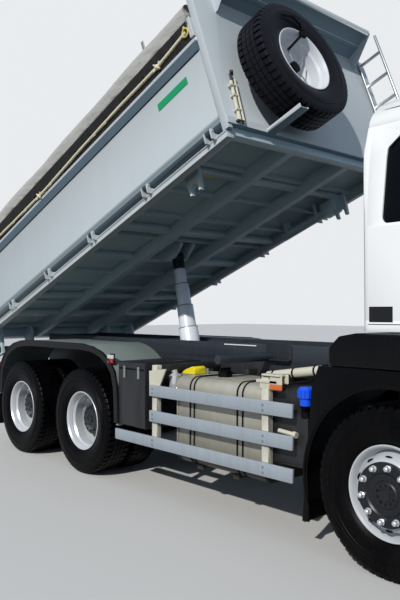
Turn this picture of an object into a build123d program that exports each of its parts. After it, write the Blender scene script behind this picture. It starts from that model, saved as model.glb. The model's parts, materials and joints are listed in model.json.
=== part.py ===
from build123d import *
import os

# Driving dimensions in millimetres; +X is forward, +Y is left, the ground is at Z 0.
# Lengths along the truck are given ahead of the rearmost axle and turned into X by at().
origin_ahead = 2370
bogie_spread = 1350
wheelbase = 3600
rear_axle_at = 0
middle_axle_at = rear_axle_at + bogie_spread
front_axle_at = middle_axle_at + wheelbase

# Wheels: 315/80 R 22.5 tyres on 9.00 x 22.5 rims
tyre_radius = 537
axle_z = tyre_radius
twin_outer_y = 1095
twin_inner_y = 750
front_tyre_y = 1105
twin_disc_offset = 172.5
front_disc_offset = 157
bolt_face_bore = 70
kingpin_y = 975

# Frame and subframe
rail_out = 430
rail_flange = 80
rail_sheet = 8
frame_bottom = 930
frame_top = 1200
subframe_top = 1360
frame_rear_at = -800
frame_front_at = 6120
subframe_front_at = 4200

# Interfaces: drawbar coupling holes at the rear, towing socket in the bumper
coupling_z = 1065
coupling_spacing_y = 160
coupling_spacing_z = 100
coupling_hole_radius = 8.5
bumper_front_at = 6420
tow_socket_y = 350
tow_socket_z = 420
tow_socket_radius = 22.5
tow_socket_depth = 60

# Bed: along = forward over its floor from the tipping shaft, h = square to the floor above the shaft
bed_tilt = 20.5
shaft_at = -950
shaft_z = 1160
shaft_radius = 45
bed_rear = -190
bed_front = 4900
floor_under = 355
floor_sheet = 10
floor_half = 1185
beam_under = 210
beam_out = 450
beam_width = 80
crossbar_under = 280
slim_bar_under = 312
crossbar_pitch = 475
board_inner = 1205
board_outer = 1250
board_top = 1140
board_hinge_out = 1275
board_hinge_h = 300
gate_hinge_along = -225
gate_hinge_h = 1160
wall_top = 1600
side_socket_along = 4200
side_socket_h = 100

# Telescopic cylinder between the cradle and the eye under the floor
trunnion_at = 1720
trunnion_z = 1000
eye_along = 2616
eye_h = 237
stage_extension = 233.5

# Cab
cab_rear_at = 4690
cab_front_at = 6390
cab_half = 1150
cab_floor_z = 1530
cab_roof_z = 3120
cab_wall = 50
door_gap = 6
tilt_shaft_at = 6270
tilt_shaft_z = 1000
tilt_shaft_radius = 25


def at(ahead):
    """X of a point that lies so far ahead of the rearmost axle"""
    return ahead - origin_ahead


# The bed's own planes, turned about the tipping shaft
bed_frame_location = Pos(at(shaft_at), 0, shaft_z) * Rot(0, -bed_tilt, 0)
bed_floor_plane = Plane(bed_frame_location)
bed_side_plane = Plane(bed_frame_location * Rot(90, 0, 0))
bed_cross_plane = Plane(bed_frame_location * Rot(90, 0, 0) * Rot(0, 90, 0))


def block(x_range, y_range, z_range, mode=Mode.ADD):
    """A box between two values on each axis of the part that is being built"""
    size = [high - low for low, high in (x_range, y_range, z_range)]
    middle = [(high + low) / 2 for low, high in (x_range, y_range, z_range)]
    with Locations(tuple(middle)):
        Box(*size, mode=mode)


def slab(points, y_range, base=Plane.XZ, mode=Mode.ADD):
    """A side-view outline made solid between two values of Y"""
    low, high = y_range
    with BuildSketch(base.offset(-high)) as outline:
        with BuildLine():
            Polyline(*points, close=True)
        make_face()
    extrude(outline.sketch, amount=high - low, mode=mode)


def both_sides(points, inner, outer, base=Plane.XZ, mode=Mode.ADD):
    """A side-view outline made solid on the right and on the left"""
    slab(points, (-outer, -inner), base, mode)
    slab(points, (inner, outer), base, mode)


def section(points, x_range, base=Plane.YZ, mode=Mode.ADD):
    """A cross-section, given as Y and Z, made solid along the truck or the bed"""
    low, high = x_range
    with BuildSketch(base.offset(low)) as outline:
        with BuildLine():
            Polyline(*points, close=True)
        make_face()
    extrude(outline.sketch, amount=high - low, mode=mode)


def round_bar(centre, y_range, radius, base=Plane.XZ, mode=Mode.ADD):
    """A round bar that runs across the truck"""
    low, high = y_range
    with BuildSketch(base.offset(-high)) as disc:
        with Locations(centre):
            Circle(radius)
    extrude(disc.sketch, amount=high - low, mode=mode)


def round_bar_along(centre, along_range, radius, mode=Mode.ADD):
    """A round bar that runs along the bed, placed by Y and h"""
    low, high = along_range
    with BuildSketch(bed_cross_plane.offset(low)) as disc:
        with Locations(centre):
            Circle(radius)
    extrude(disc.sketch, amount=high - low, mode=mode)


def mirrored(points):
    """A half section completed on the other side of its middle"""
    return points + [(-out, other) for out, other in reversed(points) if out > 0]


def save(name, piece):
    piece.part.label = name
    export_step(piece.part, f"parts/{name}.step")


os.makedirs("parts", exist_ok=True)

# Tyre section: out from the tyre's middle, radius
tyre_half_section = [
    (110, 288), (114, 300), (131, 302), (150, 350), (156, 410), (150, 470), (138, 512), (126, 530), (0, 537),
]

# Rim barrel: out from the rim's middle, radius
rim_section = [
    (127, 298), (119, 298), (116, 286), (72, 284), (50, 262), (-50, 262), (-72, 284), (-116, 286),
    (-119, 298), (-127, 298), (-127, 289), (-114, 277), (-66, 275), (-46, 253), (46, 253), (66, 275),
    (114, 277), (127, 289),
]


def rim_disc_section(dish):
    """The dished disc that ends in the bolting face at the given offset"""
    return [
        (50, 258), (dish - 30, 222), (dish, 196), (dish, bolt_face_bore),
        (dish - 12, bolt_face_bore), (dish - 12, 190), (dish - 38, 212), (38, 256),
    ]


def turned(points, wheel_at, middle_y, direction):
    """A section given as out and radius, revolved about a wheel's axle"""
    with BuildSketch(Plane.YZ.offset(at(wheel_at))) as outline:
        with BuildLine():
            Polyline(*[(middle_y + direction * out, axle_z + radius) for out, radius in points], close=True)
        make_face()
    revolve(outline.sketch, axis=Axis((at(wheel_at), 0, axle_z), (0, 1, 0)))


# Wheels: name, ahead of the rear axle, side, (tyre middle, which way its disc lies, disc offset)
wheel_table = [
    ("front_left", front_axle_at, 1, [(front_tyre_y, 1, front_disc_offset)]),
    ("front_right", front_axle_at, -1, [(front_tyre_y, 1, front_disc_offset)]),
    ("middle_left", middle_axle_at, 1,
     [(twin_outer_y, -1, twin_disc_offset), (twin_inner_y, 1, twin_disc_offset)]),
    ("middle_right", middle_axle_at, -1,
     [(twin_outer_y, -1, twin_disc_offset), (twin_inner_y, 1, twin_disc_offset)]),
    ("rear_left", rear_axle_at, 1,
     [(twin_outer_y, -1, twin_disc_offset), (twin_inner_y, 1, twin_disc_offset)]),
    ("rear_right", rear_axle_at, -1,
     [(twin_outer_y, -1, twin_disc_offset), (twin_inner_y, 1, twin_disc_offset)]),
]

# Hub that fills the bore of the bolting face: out from the face, radius
front_hub_section = [
    (0, 0), (-40, 0), (-40, 60), (-20, 118), (0, 118), (0, 196), (12, 196), (16, 190), (16, 128),
    (2, 118), (2, 82), (18, 74), (18, 0),
]
# The rear hub carries its planet gears in a cover with a flange that stands out of the disc
rear_hub_section = [
    (-20, 0), (-20, 68), (0, 68), (0, 180), (14, 180), (14, 138), (150, 136), (156, 149), (180, 149),
    (186, 132), (196, 108), (196, 0),
]

for name, wheel_at, side, rims in wheel_table:
    with BuildPart() as tyre:
        for middle, direction, dish in rims:
            turned(mirrored(tyre_half_section), wheel_at, side * middle, side)
    save("tyre_" + name, tyre)
    with BuildPart() as rim:
        for middle, direction, dish in rims:
            turned(rim_section, wheel_at, side * middle, side * direction)
            turned(rim_disc_section(dish), wheel_at, side * middle, side * direction)
        middle, direction, dish = rims[0]
        hub = front_hub_section if direction > 0 else rear_hub_section
        turned(hub, wheel_at, side * (middle + direction * dish), side)
    save("rim_" + name, rim)

# Front axle: dropped beam with a boss for each kingpin
with BuildPart() as front_axle:
    section(
        [(-945, axle_z - 45), (-860, axle_z - 55), (-620, axle_z - 140), (620, axle_z - 140),
            (860, axle_z - 55), (945, axle_z - 45), (945, axle_z + 45), (860, axle_z + 50),
            (600, axle_z - 30), (-600, axle_z - 30), (-860, axle_z + 50), (-945, axle_z + 45)],
        (at(front_axle_at) - 45, at(front_axle_at) + 45),
    )
    with BuildSketch(Plane.XY.offset(axle_z - 58)):
        with Locations((at(front_axle_at), kingpin_y), (at(front_axle_at), -kingpin_y)):
            Circle(40)
    extrude(amount=116)
save("front_axle", front_axle)

# Knuckles: fork over the kingpin boss, brake drum and stub axle
for name, side in (("left", 1), ("right", -1)):
    with BuildPart() as knuckle:
        for low, high in ((64, 104), (-104, -64)):
            with BuildSketch(Plane.XY.offset(axle_z + low)):
                with Locations((at(front_axle_at), side * kingpin_y)):
                    Circle(44)
                with Locations((at(front_axle_at), side * (kingpin_y + 35))):
                    Rectangle(88, 70)
            extrude(amount=high - low)
        near, far = sorted((side * (kingpin_y + 60), side * (kingpin_y + 140)))
        round_bar((at(front_axle_at), axle_z), (near, far), 200)
        near, far = sorted((side * (kingpin_y + 140), side * (kingpin_y + 236)))
        round_bar((at(front_axle_at), axle_z), (near, far), 50)
    save("knuckle_" + name, knuckle)

# Driven axles with their housings, brake drums and the shaft that joins them to the gearbox
with BuildPart() as rear_axles:
    for wheel_at in (rear_axle_at, middle_axle_at):
        round_bar((at(wheel_at), axle_z), (-898, 898), 66)
        for side in (1, -1):
            near, far = sorted((side * 660, side * 868))
            round_bar((at(wheel_at), axle_z), (near, far), 196)
        with Locations((at(wheel_at), 0, axle_z)):
            Sphere(205)
        with BuildSketch(Plane.YZ.offset(at(wheel_at))):
            with Locations((0, axle_z)):
                Circle(90)
        extrude(amount=400)
    with BuildSketch(Plane.YZ.offset(at(rear_axle_at + 390))):
        with Locations((0, axle_z)):
            Circle(45)
    extrude(amount=bogie_spread - 500)
    with BuildSketch(Plane.YZ.offset(at(middle_axle_at + 390))):
        with Locations((0, axle_z)):
            Circle(50)
    extrude(amount=2600)
save("rear_axles", rear_axles)

# Leaf springs: front pair on the beam, rear pair over the bogie
with BuildPart() as springs:
    for side in (1, -1):
        for centre_at, half_length, low, thick, middle_y, drop in (
            (front_axle_at, 780, axle_z - 18, 70, 388, 200),
            (middle_axle_at - bogie_spread / 2, 640, 830, 110, 520, -150),
        ):
            with BuildSketch(Plane.XZ.offset(-(side * middle_y + 40))):
                with BuildLine():
                    lower = ThreePointArc(
                        (at(centre_at) - half_length, low + drop), (at(centre_at), low),
                        (at(centre_at) + half_length, low + drop))
                    upper = ThreePointArc(
                        (at(centre_at) - half_length, low + drop + 30), (at(centre_at), low + thick),
                        (at(centre_at) + half_length, low + drop + 30))
                    Line(lower @ 0, upper @ 0)
                    Line(lower @ 1, upper @ 1)
                make_face()
            extrude(amount=80)
save("springs", springs)

# Chassis frame: two channel rails and their cross members
with BuildPart() as chassis_frame:
    for side in (1, -1):
        out, inner, web = side * rail_out, side * (rail_out - rail_flange), side * (rail_out - rail_sheet)
        section(
            [(out, frame_bottom), (out, frame_top), (inner, frame_top), (inner, frame_top - rail_sheet),
             (web, frame_top - rail_sheet), (web, frame_bottom + rail_sheet),
             (inner, frame_bottom + rail_sheet), (inner, frame_bottom)],
            (at(frame_rear_at), at(frame_front_at)),
        )
    for cross_at in (-740, 640, 1330, 2180, 3250, 4300, 6040):
        section(
            [(rail_sheet - rail_out, 960), (rail_out - rail_sheet, 960), (rail_out - rail_sheet, 1170),
             (rail_sheet - rail_out, 1170)],
            (at(cross_at), at(cross_at + 60)),
        )
    # Lugs that carry the cab's tilting shaft
    for side in (1, -1):
        near, far = sorted((side * 350, side * 405))
        slab([(at(6040), frame_bottom), (at(tilt_shaft_at) + 30, tilt_shaft_z - 35),
              (at(tilt_shaft_at) + 40, tilt_shaft_z), (at(tilt_shaft_at) + 20, tilt_shaft_z + 40),
              (at(6080), frame_top), (at(6040), frame_top)], (near, far))
    round_bar((at(tilt_shaft_at), tilt_shaft_z), (-510, 510), tilt_shaft_radius)
    # Four holes in the rearmost member for a drawbar coupling
    with BuildSketch(Plane.YZ.offset(at(frame_rear_at))):
        with Locations((0, coupling_z)):
            with GridLocations(coupling_spacing_y, coupling_spacing_z, 2, 2):
                Circle(coupling_hole_radius)
    extrude(amount=200, mode=Mode.SUBTRACT)
save("chassis_frame", chassis_frame)

# Subframe with the tipping shaft, the front cross shaft and the cylinder's cradle
with BuildPart() as subframe:
    for side in (1, -1):
        near, far = sorted((side * (rail_out - rail_flange), side * rail_out))
        block((at(frame_rear_at), at(subframe_front_at)), (near, far), (frame_top, subframe_top))
        slab(
            [(at(shaft_at) - 70, shaft_z - 80), (at(frame_rear_at), shaft_z - 80),
             (at(frame_rear_at), shaft_z + 90), (at(shaft_at) - 70, shaft_z + 70)],
            (near, far),
        )
    for cross_at in (-790, 700, 1330, 2130, 4140):
        block((at(cross_at), at(cross_at + 60)), (rail_flange - rail_out, rail_out - rail_flange),
              (frame_top + 10, subframe_top - 10))
    round_bar((at(shaft_at), shaft_z), (-1085, 1085), shaft_radius)
    round_bar((at(shaft_at + side_socket_along), shaft_z + side_socket_h), (-1085, 1085), 38)
    for side in (1, -1):
        near, far = sorted((side * 180, side * 215))
        block((at(1400), at(2120)), (near, far), (frame_top - 250, frame_top + 20))
        round_bar((at(trunnion_at), trunnion_z), (near, far), 28, mode=Mode.SUBTRACT)
save("subframe", subframe)

with BuildPart() as engine_block:
    block((at(4600), at(5470)), (-330, 330), (700, 1460))
save("engine_block", engine_block)

# Arch over the engine's rear end with the pads that the cab rests on
with BuildPart() as cab_mounts:
    for side in (1, -1):
        near, far = sorted((side * 345, side * rail_out))
        block((at(4700), at(4780)), (near, far), (frame_top, 1475))
        near, far = sorted((side * 360, side * rail_out))
        block((at(4710), at(4770)), (near, far), (1505, cab_floor_z - 8))
    block((at(4700), at(4780)), (-rail_out, rail_out), (1470, 1505))
save("cab_mounts", cab_mounts)

# Fuel tank on the right, with rounded long edges
with BuildPart() as fuel_tank:
    with BuildSketch(Plane.YZ.offset(at(2800))):
        with Locations((-850, 730)):
            RectangleRounded(600, 740, 90)
    extrude(amount=1050)
    with BuildSketch(Plane.XY.offset(1095)):
        with Locations((at(3150), -900)):
            Circle(55)
    extrude(amount=35)
    # Two angled cradles that bring the tank's weight to the frame
    for cradle_at in (3020, 3450):
        block((at(cradle_at), at(cradle_at + 65)), (-550, -rail_out), (360, frame_top - 60))
        block((at(cradle_at), at(cradle_at + 65)), (-1100, -rail_out), (325, 360))
save("fuel_tank", fuel_tank)

# Boxes hung on the frame: tool box and urea tank on the right, batteries and exhaust on the left
with BuildPart() as side_boxes:
    for x_range, y_range, z_range in (
        ((2035, 2450), (-1235, -560), (590, 1190)),
        ((3900, 4250), (-1150, -560), (540, 1100)),
        ((2060, 2950), (480, 1150), (560, 1120)),
        ((3100, 4150), (480, 1150), (420, 1120)),
    ):
        block((at(x_range[0]), at(x_range[1])), y_range, z_range)
    fillet(side_boxes.edges().filter_by(Axis.X), 25)
    # Arms from the frame
    for box_from, box_to, side, near in ((2035, 2450, -1, 560), (3900, 4250, -1, 560), (2060, 2950, 1, 480),
                                         (3100, 4150, 1, 480)):
        for arm_at in (box_from + 60, box_to - 110):
            low, high = sorted((side * rail_out, side * near))
            block((at(arm_at), at(arm_at + 50)), (low, high), (960, 1080))
save("side_boxes", side_boxes)

# Side guards: rail bottom height, rear end, front end
guard_rails = [(904, 2520), (677, 2520), (447, 1985)]
guard_front_at = 4180
guard_posts_at = (2530, 3865)
with BuildPart() as side_guards:
    for side in (1, -1):
        near, far = sorted((side * 1215, side * 1240))
        for rail_z, rear_at in guard_rails:
            block((at(rear_at), at(guard_front_at)), (near, far), (rail_z, rail_z + 100))
        near, far = sorted((side * 1165, side * 1215))
        for post_at in guard_posts_at:
            block((at(post_at), at(post_at + 70)), (near, far), (447, 1130))
            back, front = sorted((side * rail_out, side * 1215))
            block((at(post_at), at(post_at + 70)), (back, front), (1120, 1180))
save("side_guards", side_guards)

# Double mudguard over the bogie, a thin sheet with round shoulders, and the tubes that carry it
mudguard_sheet = 12
mudguard_top = 1325
with BuildPart() as rear_mudguards:
    with BuildSketch(Plane.XZ) as guard_side:
        with BuildLine():
            Line((at(-585), 640), (at(-580), 900))
            ThreePointArc((at(-580), 900), (at(-440), 1140), (at(-190), 1275))
            ThreePointArc((at(-190), 1275), (at(0), 1311), (at(200), mudguard_top))
            Line((at(200), mudguard_top), (at(1400), mudguard_top))
            ThreePointArc((at(1400), mudguard_top), (at(1760), 1255), (at(1965), 1090))
            ThreePointArc((at(1965), 1090), (at(2008), 950), (at(2022), 800))
            Line((at(2022), 800), (at(2030), 575))
            Line((at(2030), 575), (at(-585), 640))
        make_face()
        offset(amount=-mudguard_sheet, kind=Kind.INTERSECTION, mode=Mode.SUBTRACT)
        with Locations((at(720), 600)):
            Rectangle(2560, 130, mode=Mode.SUBTRACT)
    for side in (1, -1):
        extrude(guard_side.sketch.moved(Location((0, side * 920, 0))), amount=320, both=True)
        near, far = sorted((side * rail_out, side * 1200))
        for tube_at, tube_z in ((-556, 960), (250, 1302), (1250, 1302), (1985, 960)):
            round_bar((at(tube_at), tube_z), (near, far), 17)
save("rear_mudguards", rear_mudguards)

# Front arches: liner over the wheel, a side plate around it, the steps and the arms from the frame
arch_plate = [(4265, 210), (4350, 1130), (4410, 1290), (5480, 1290), (5690, 1140), (5690, 300), (5570, 300)]
with BuildPart() as front_arches:
    for side in (1, -1):
        near, far = sorted((side * 720, side * 1240))
        with BuildSketch(Plane.XZ.offset(-far)):
            with Locations((at(front_axle_at), axle_z)):
                Circle(675)
                Circle(655, mode=Mode.SUBTRACT)
            with Locations((at(front_axle_at), axle_z - 500)):
                Rectangle(1400, 560, mode=Mode.SUBTRACT)
        extrude(amount=far - near)
        plate_near, plate_far = sorted((side * 1216, side * 1234))
        with BuildSketch(Plane.XZ.offset(-plate_far)) as plate:
            with BuildLine():
                Polyline(*[(at(ahead), z) for ahead, z in arch_plate], close=True)
            make_face()
            with Locations((at(front_axle_at), axle_z)):
                Circle(640, mode=Mode.SUBTRACT)
            with Locations((at(front_axle_at), axle_z - 640)):
                Rectangle(1260, 1280, mode=Mode.SUBTRACT)
        extrude(amount=plate_far - plate_near)
        block((at(5570), at(6300)), (near, far), (300, 1140))
        for step_z in (400, 650, 900):
            step_near, step_far = sorted((side * 1090, side * 1300))
            block((at(5640), at(6060)), (step_near, step_far), (step_z, step_z + 190), mode=Mode.SUBTRACT)
        # Saddle that the fairing stands on
        near, far = sorted((side * 780, side * 1180))
        block((at(4890), at(5010)), (near, far), (axle_z + 660, 1290))
        near, far = sorted((side * rail_out, side * 730))
        block((at(4450), at(4520)), (near, far), (1000, 1080))
        block((at(5700), at(5760)), (near, far), (980, 1080))
save("front_arches", front_arches)

# Rounded fairings on the arches, under the cab's corners
arch_fairing = [(4490, 1290), (4490, 1420), (4570, 1495), (4700, 1518), (5495, 1518), (5470, 1290)]
with BuildPart() as arch_fairings:
    for side in (1, -1):
        near, far = sorted((side * 720, side * 1240))
        with BuildPart() as fairing:
            with BuildSketch(Plane.XZ.offset(-far)) as side_view:
                with BuildLine():
                    Polyline(*[(at(ahead), z) for ahead, z in arch_fairing], close=True)
                make_face()
                fillet(side_view.vertices(), 30)
            extrude(amount=far - near)
            fillet(fairing.faces().sort_by(Axis.Y)[-1 if side > 0 else 0].edges(), 28)
        add(fairing.part)
save("arch_fairings", arch_fairings)

bumper_plan = [
    (6310, -1240), (6310, 1240), (6345, 1240), (bumper_front_at, 1090), (bumper_front_at, -1090), (6345, -1240),
]
with BuildPart() as bumper:
    with BuildSketch(Plane.XY.offset(330)) as bumper_plan_sketch:
        with BuildLine():
            Polyline(*[(at(ahead), out) for ahead, out in bumper_plan], close=True)
        make_face()
        fillet(bumper_plan_sketch.vertices().group_by(Axis.X)[-1], 200)
    extrude(amount=1140 - 330)
    block((at(6300), at(bumper_front_at - 45)), (-1190, 1190), (900, 1150), mode=Mode.SUBTRACT)
    block((at(6120), at(6330)), (-420, 420), (480, 900))
    block((at(6100), at(6180)), (-340, 340), (880, 1000))
    # Air intake with its two bars
    for low, high in ((575, 625), (640, 690), (705, 755)):
        block((at(bumper_front_at - 30), at(bumper_front_at)), (-620, 620), (low, high), mode=Mode.SUBTRACT)
    # Socket for a towing pin
    with BuildSketch(Plane.YZ.offset(at(bumper_front_at - tow_socket_depth))):
        with Locations((tow_socket_y, tow_socket_z)):
            Circle(tow_socket_radius)
    extrude(amount=tow_socket_depth, mode=Mode.SUBTRACT)
save("bumper", bumper)

# Lamps: headlamps in the bumper and lamp clusters at the rear
with BuildPart() as lamps:
    for side in (1, -1):
        near, far = sorted((side * 800, side * 1080))
        block((at(bumper_front_at), at(bumper_front_at + 12)), (near, far), (560, 720))
        near, far = sorted((side * 700, side * 1060))
        block((at(-1012), at(-960)), (near, far), (880, 1000))
save("lamps", lamps)

with BuildPart() as underrun_bar:
    block((at(-960), at(-880)), (-1180, 1180), (450, 570))
    for side in (1, -1):
        near, far = sorted((side * 350, side * 430))
        block((at(-880), at(-760)), (near, far), (450, 930))
        near, far = sorted((side * 430, side * 1060))
        block((at(-960), at(-920)), (near, far), (880, 1000))
        near, far = sorted((side * 430, side * 470))
        block((at(-960), at(-760)), (near, far), (880, 1000))
save("underrun_bar", underrun_bar)

# Cab: one outer form, made of a side view, a front view and a plan, drawn in by an inset
cab_side_view = [
    (cab_rear_at, cab_floor_z), (cab_rear_at, 2700), (4712, 2960), (4765, 3035), (4900, 3080),
    (5400, cab_roof_z), (5880, 3090), (6010, 3000), (6330, 2080), (cab_front_at, 1900),
    (cab_front_at, 1215), (5700, 1225),
    (5520, cab_floor_z),
]
cab_front_view = [
    (1100, 1200), (cab_half, 1300), (cab_half, 2200), (1112, 2650), (1062, 2920), (1020, 3020), (930, 3080),
    (0, cab_roof_z),
]


def cab_form(inset):
    with BuildPart() as form:
        with BuildSketch(Plane.XZ):
            with BuildLine():
                Polyline(*[(at(ahead), z) for ahead, z in cab_side_view], close=True)
            make_face()
            if inset:
                offset(amount=-inset, kind=Kind.INTERSECTION)
        extrude(amount=1400, both=True)
        with BuildSketch(Plane.YZ):
            with BuildLine():
                Polyline(*mirrored(cab_front_view), close=True)
            make_face()
            if inset:
                offset(amount=-inset, kind=Kind.INTERSECTION)
        extrude(amount=9000, both=True, mode=Mode.INTERSECT)
        with BuildSketch(Plane.XY.offset(1000)) as plan:
            with Locations((at((cab_rear_at + cab_front_at) / 2), 0)):
                Rectangle(cab_front_at - cab_rear_at - 2 * inset, 2 * (cab_half - inset))
            fillet(plan.vertices().group_by(Axis.X)[-1], 160 - inset)
            fillet(plan.vertices().group_by(Axis.X)[0], 65 - inset)
        extrude(amount=2400, mode=Mode.INTERSECT)
    return form.part


cab_outer = cab_form(0)
cab_inner = cab_form(cab_wall)
glass_outer = cab_form(12)
glass_inner = cab_form(18)

# Openings in side view: the door, its window and the quarter window behind it
door_outline = [(5220, 1590), (5560, 1590), (5745, 1275), (6120, 1275), (6120, 2080), (5870, 2850), (5220, 2850)]
door_window = [(5300, 2160), (6030, 2160), (5830, 2795), (5300, 2795)]
quarter_window = [(4850, 2220), (5150, 2220), (5150, 2812), (4985, 2812), (4868, 2710)]
windscreen_half = (980, 2110, 2865)


def cab_piece(keep_x, keep_y, keep_z):
    """The part of the cab's wall that lies inside a box"""
    add(cab_outer)
    add(cab_inner, mode=Mode.SUBTRACT)
    block((at(keep_x[0]), at(keep_x[1])), keep_y, keep_z, mode=Mode.INTERSECT)


def cab_middle_piece(keep_z):
    """The wall between the door openings, put back after they are cut"""
    with BuildPart() as middle:
        add(cab_outer)
        add(cab_inner, mode=Mode.SUBTRACT)
        block((at(cab_rear_at), at(6500)), (-1090, 1090), keep_z, mode=Mode.INTERSECT)
    add(middle.part)


def cut_across(points, grow, corner, mode=Mode.SUBTRACT):
    """A side-view outline with round corners, grown by a gap, taken through the whole width of the cab"""
    with BuildSketch(Plane.XZ.offset(-2000)) as outline:
        with BuildLine():
            Polyline(*[(at(ahead), z) for ahead, z in points], close=True)
        make_face()
        if grow:
            offset(amount=grow, kind=Kind.INTERSECTION)
        fillet(outline.vertices(), corner + grow)
    extrude(outline.sketch, amount=4000, mode=mode)


def grille_slots(lowest, count):
    """Level slots in the cab's nose, not as deep as its wall"""
    for number in range(count):
        low = lowest + 75 * number
        block((at(cab_front_at - 28), at(cab_front_at + 10)), (-840, 840), (low, low + 45), mode=Mode.SUBTRACT)


side_from, side_to = cab_rear_at + cab_wall, 6160
roof_from = 2880
floor_to = 1600

# Swan-necked bracket from the tilting shaft to the cab's floor: ahead of the shaft, above it
tilt_bracket = [(-180, 235), (-180, 100), (-65, -40), (30, -45), (45, 0), (-82, 150), (-82, 235)]
with BuildPart() as cab_floor:
    cab_piece((cab_rear_at, 6500), (-1200, 1200), (1100, floor_to))
    cut_across(door_outline, door_gap, 30)
    cab_middle_piece((1100, floor_to))
    for side in (1, -1):
        near, far = sorted((side * 440, side * 500))
        slab([(at(tilt_shaft_at + ahead), tilt_shaft_z + above) for ahead, above in tilt_bracket], (near, far))
        round_bar((at(tilt_shaft_at), tilt_shaft_z), (near, far), tilt_shaft_radius + 1, mode=Mode.SUBTRACT)
    grille_slots(cab_floor_z - 260, 3)
save("cab_floor", cab_floor)

with BuildPart() as cab_rear_wall:
    cab_piece((cab_rear_at, side_from), (-1200, 1200), (floor_to, roof_from))
save("cab_rear_wall", cab_rear_wall)

with BuildPart() as cab_roof:
    cab_piece((cab_rear_at, 6500), (-1200, 1200), (roof_from, 3200))
save("cab_roof", cab_roof)

with BuildPart() as cab_front:
    cab_piece((side_to, 6500), (-1200, 1200), (floor_to, roof_from))
    block((at(6000), at(6600)), (-windscreen_half[0], windscreen_half[0]), windscreen_half[1:],
          mode=Mode.SUBTRACT)
    grille_slots(1640, 4)
save("cab_front", cab_front)

with BuildPart() as cab_sides:
    cab_piece((side_from, side_to), (-1200, 1200), (floor_to, roof_from))
    block((at(5950), at(6600)), (-windscreen_half[0], windscreen_half[0]), windscreen_half[1:],
          mode=Mode.SUBTRACT)
    cut_across(door_outline, door_gap, 30)
    cut_across(quarter_window, 0, 45)
save("cab_sides", cab_sides)

with BuildPart() as glass_places:
    cut_across(quarter_window, 0, 45, mode=Mode.ADD)
    block((at(5950), at(6600)), (-windscreen_half[0], windscreen_half[0]), windscreen_half[1:])
with BuildPart() as cab_glass:
    add(glass_outer)
    add(glass_inner, mode=Mode.SUBTRACT)
    add(glass_places.part, mode=Mode.INTERSECT)
save("cab_glass", cab_glass)

with BuildPart() as door_form:
    add(cab_outer)
    add(cab_inner, mode=Mode.SUBTRACT)
    cut_across(door_outline, 0, 30, mode=Mode.INTERSECT)
    cut_across(door_window, 0, 40)
with BuildPart() as door_glass_form:
    add(glass_outer)
    add(glass_inner, mode=Mode.SUBTRACT)
    cut_across(door_window, 0, 40, mode=Mode.INTERSECT)
# The doors' side of the cab as Y and Z, clear of the wall between the openings
door_side = [(1098, 1000), (1098, 2200), (950, 2700), (950, 3200), (1300, 3200), (1300, 1000)]
for name, side in (("left", 1), ("right", -1)):
    keep = [(side * out, z) for out, z in door_side]
    with BuildPart() as door:
        add(door_form.part)
        section(keep, (at(5000), at(6400)), mode=Mode.INTERSECT)
        # Recessed grip with its bar
        near, far = sorted((side * (cab_half - 25), side * (cab_half + 20)))
        block((at(5275), at(5435)), (near, far), (1985, 2065), mode=Mode.SUBTRACT)
        near, far = sorted((side * (cab_half - 14), side * cab_half))
        block((at(5265), at(5445)), (near, far), (2015, 2040))
    save("door_" + name, door)
    with BuildPart() as door_glass:
        add(door_glass_form.part)
        section(keep, (at(5000), at(6400)), mode=Mode.INTERSECT)
    save("door_glass_" + name, door_glass)

with BuildPart() as dashboard:
    slab([(at(5960), floor_to), (at(6290), floor_to), (at(6290), 2000), (at(6230), 2060), (at(5980), 2030),
          (at(5900), 1900)], (-1080, 1080))
    with BuildSketch(Plane(origin=(at(5790), 560, 2070), z_dir=(-0.5, 0, 0.87))):
        Circle(225)
        Circle(205, mode=Mode.SUBTRACT)
        Rectangle(420, 40)
        Circle(60)
    extrude(amount=25)
    with BuildSketch(Plane(origin=(at(5790), 560, 2070), z_dir=(0.5, 0, -0.87))):
        Circle(35)
    extrude(amount=320)
save("dashboard", dashboard)

with BuildPart() as seats:
    for side in (1, -1):
        near, far = sorted((side * 320, side * 820))
        block((at(5120), at(5560)), (near, far), (floor_to - 20, 1920))
        slab([(at(5020), 1880), (at(5140), 1880), (at(5060), 2620), (at(4950), 2620)], (near, far))
save("seats", seats)

with BuildPart() as mirrors:
    for side in (1, -1):
        with BuildPart() as housing:
            with Locations((at(6220), side * 1340, 2270)):
                Box(100, 220, 580)
            fillet(housing.edges().filter_by(Axis.X), 40)
            fillet(housing.faces().sort_by(Axis.X)[-1].edges(), 25)
        add(housing.part)
        near, far = sorted((side * 1085, side * 1260))
        for arm_z in (2080, 2460):
            block((at(6175), at(6205)), (near, far), (arm_z, arm_z + 30))
    add(cab_outer, mode=Mode.SUBTRACT)
save("mirrors", mirrors)

# Bed floor, and the frame under it with beams, crossbars, rails, sockets and rear posts
with BuildPart(bed_floor_plane) as bed_floor:
    block((bed_rear, bed_front - 40), (-floor_half, floor_half), (floor_under, floor_under + floor_sheet))
save("bed_floor", bed_floor)

# Hinge forks of the side boards: places along the bed, and their section as out and h
lug_along = (950, 1890, 2830, 3800, 4700)
fork_section = [
    (1172, 224), (1297, 224), (1297, 304), (1290, 315), (1279, 321), (1267, 320), (1256, 312), (1253, 300),
    (1253, 276), (1172, 276),
]
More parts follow.
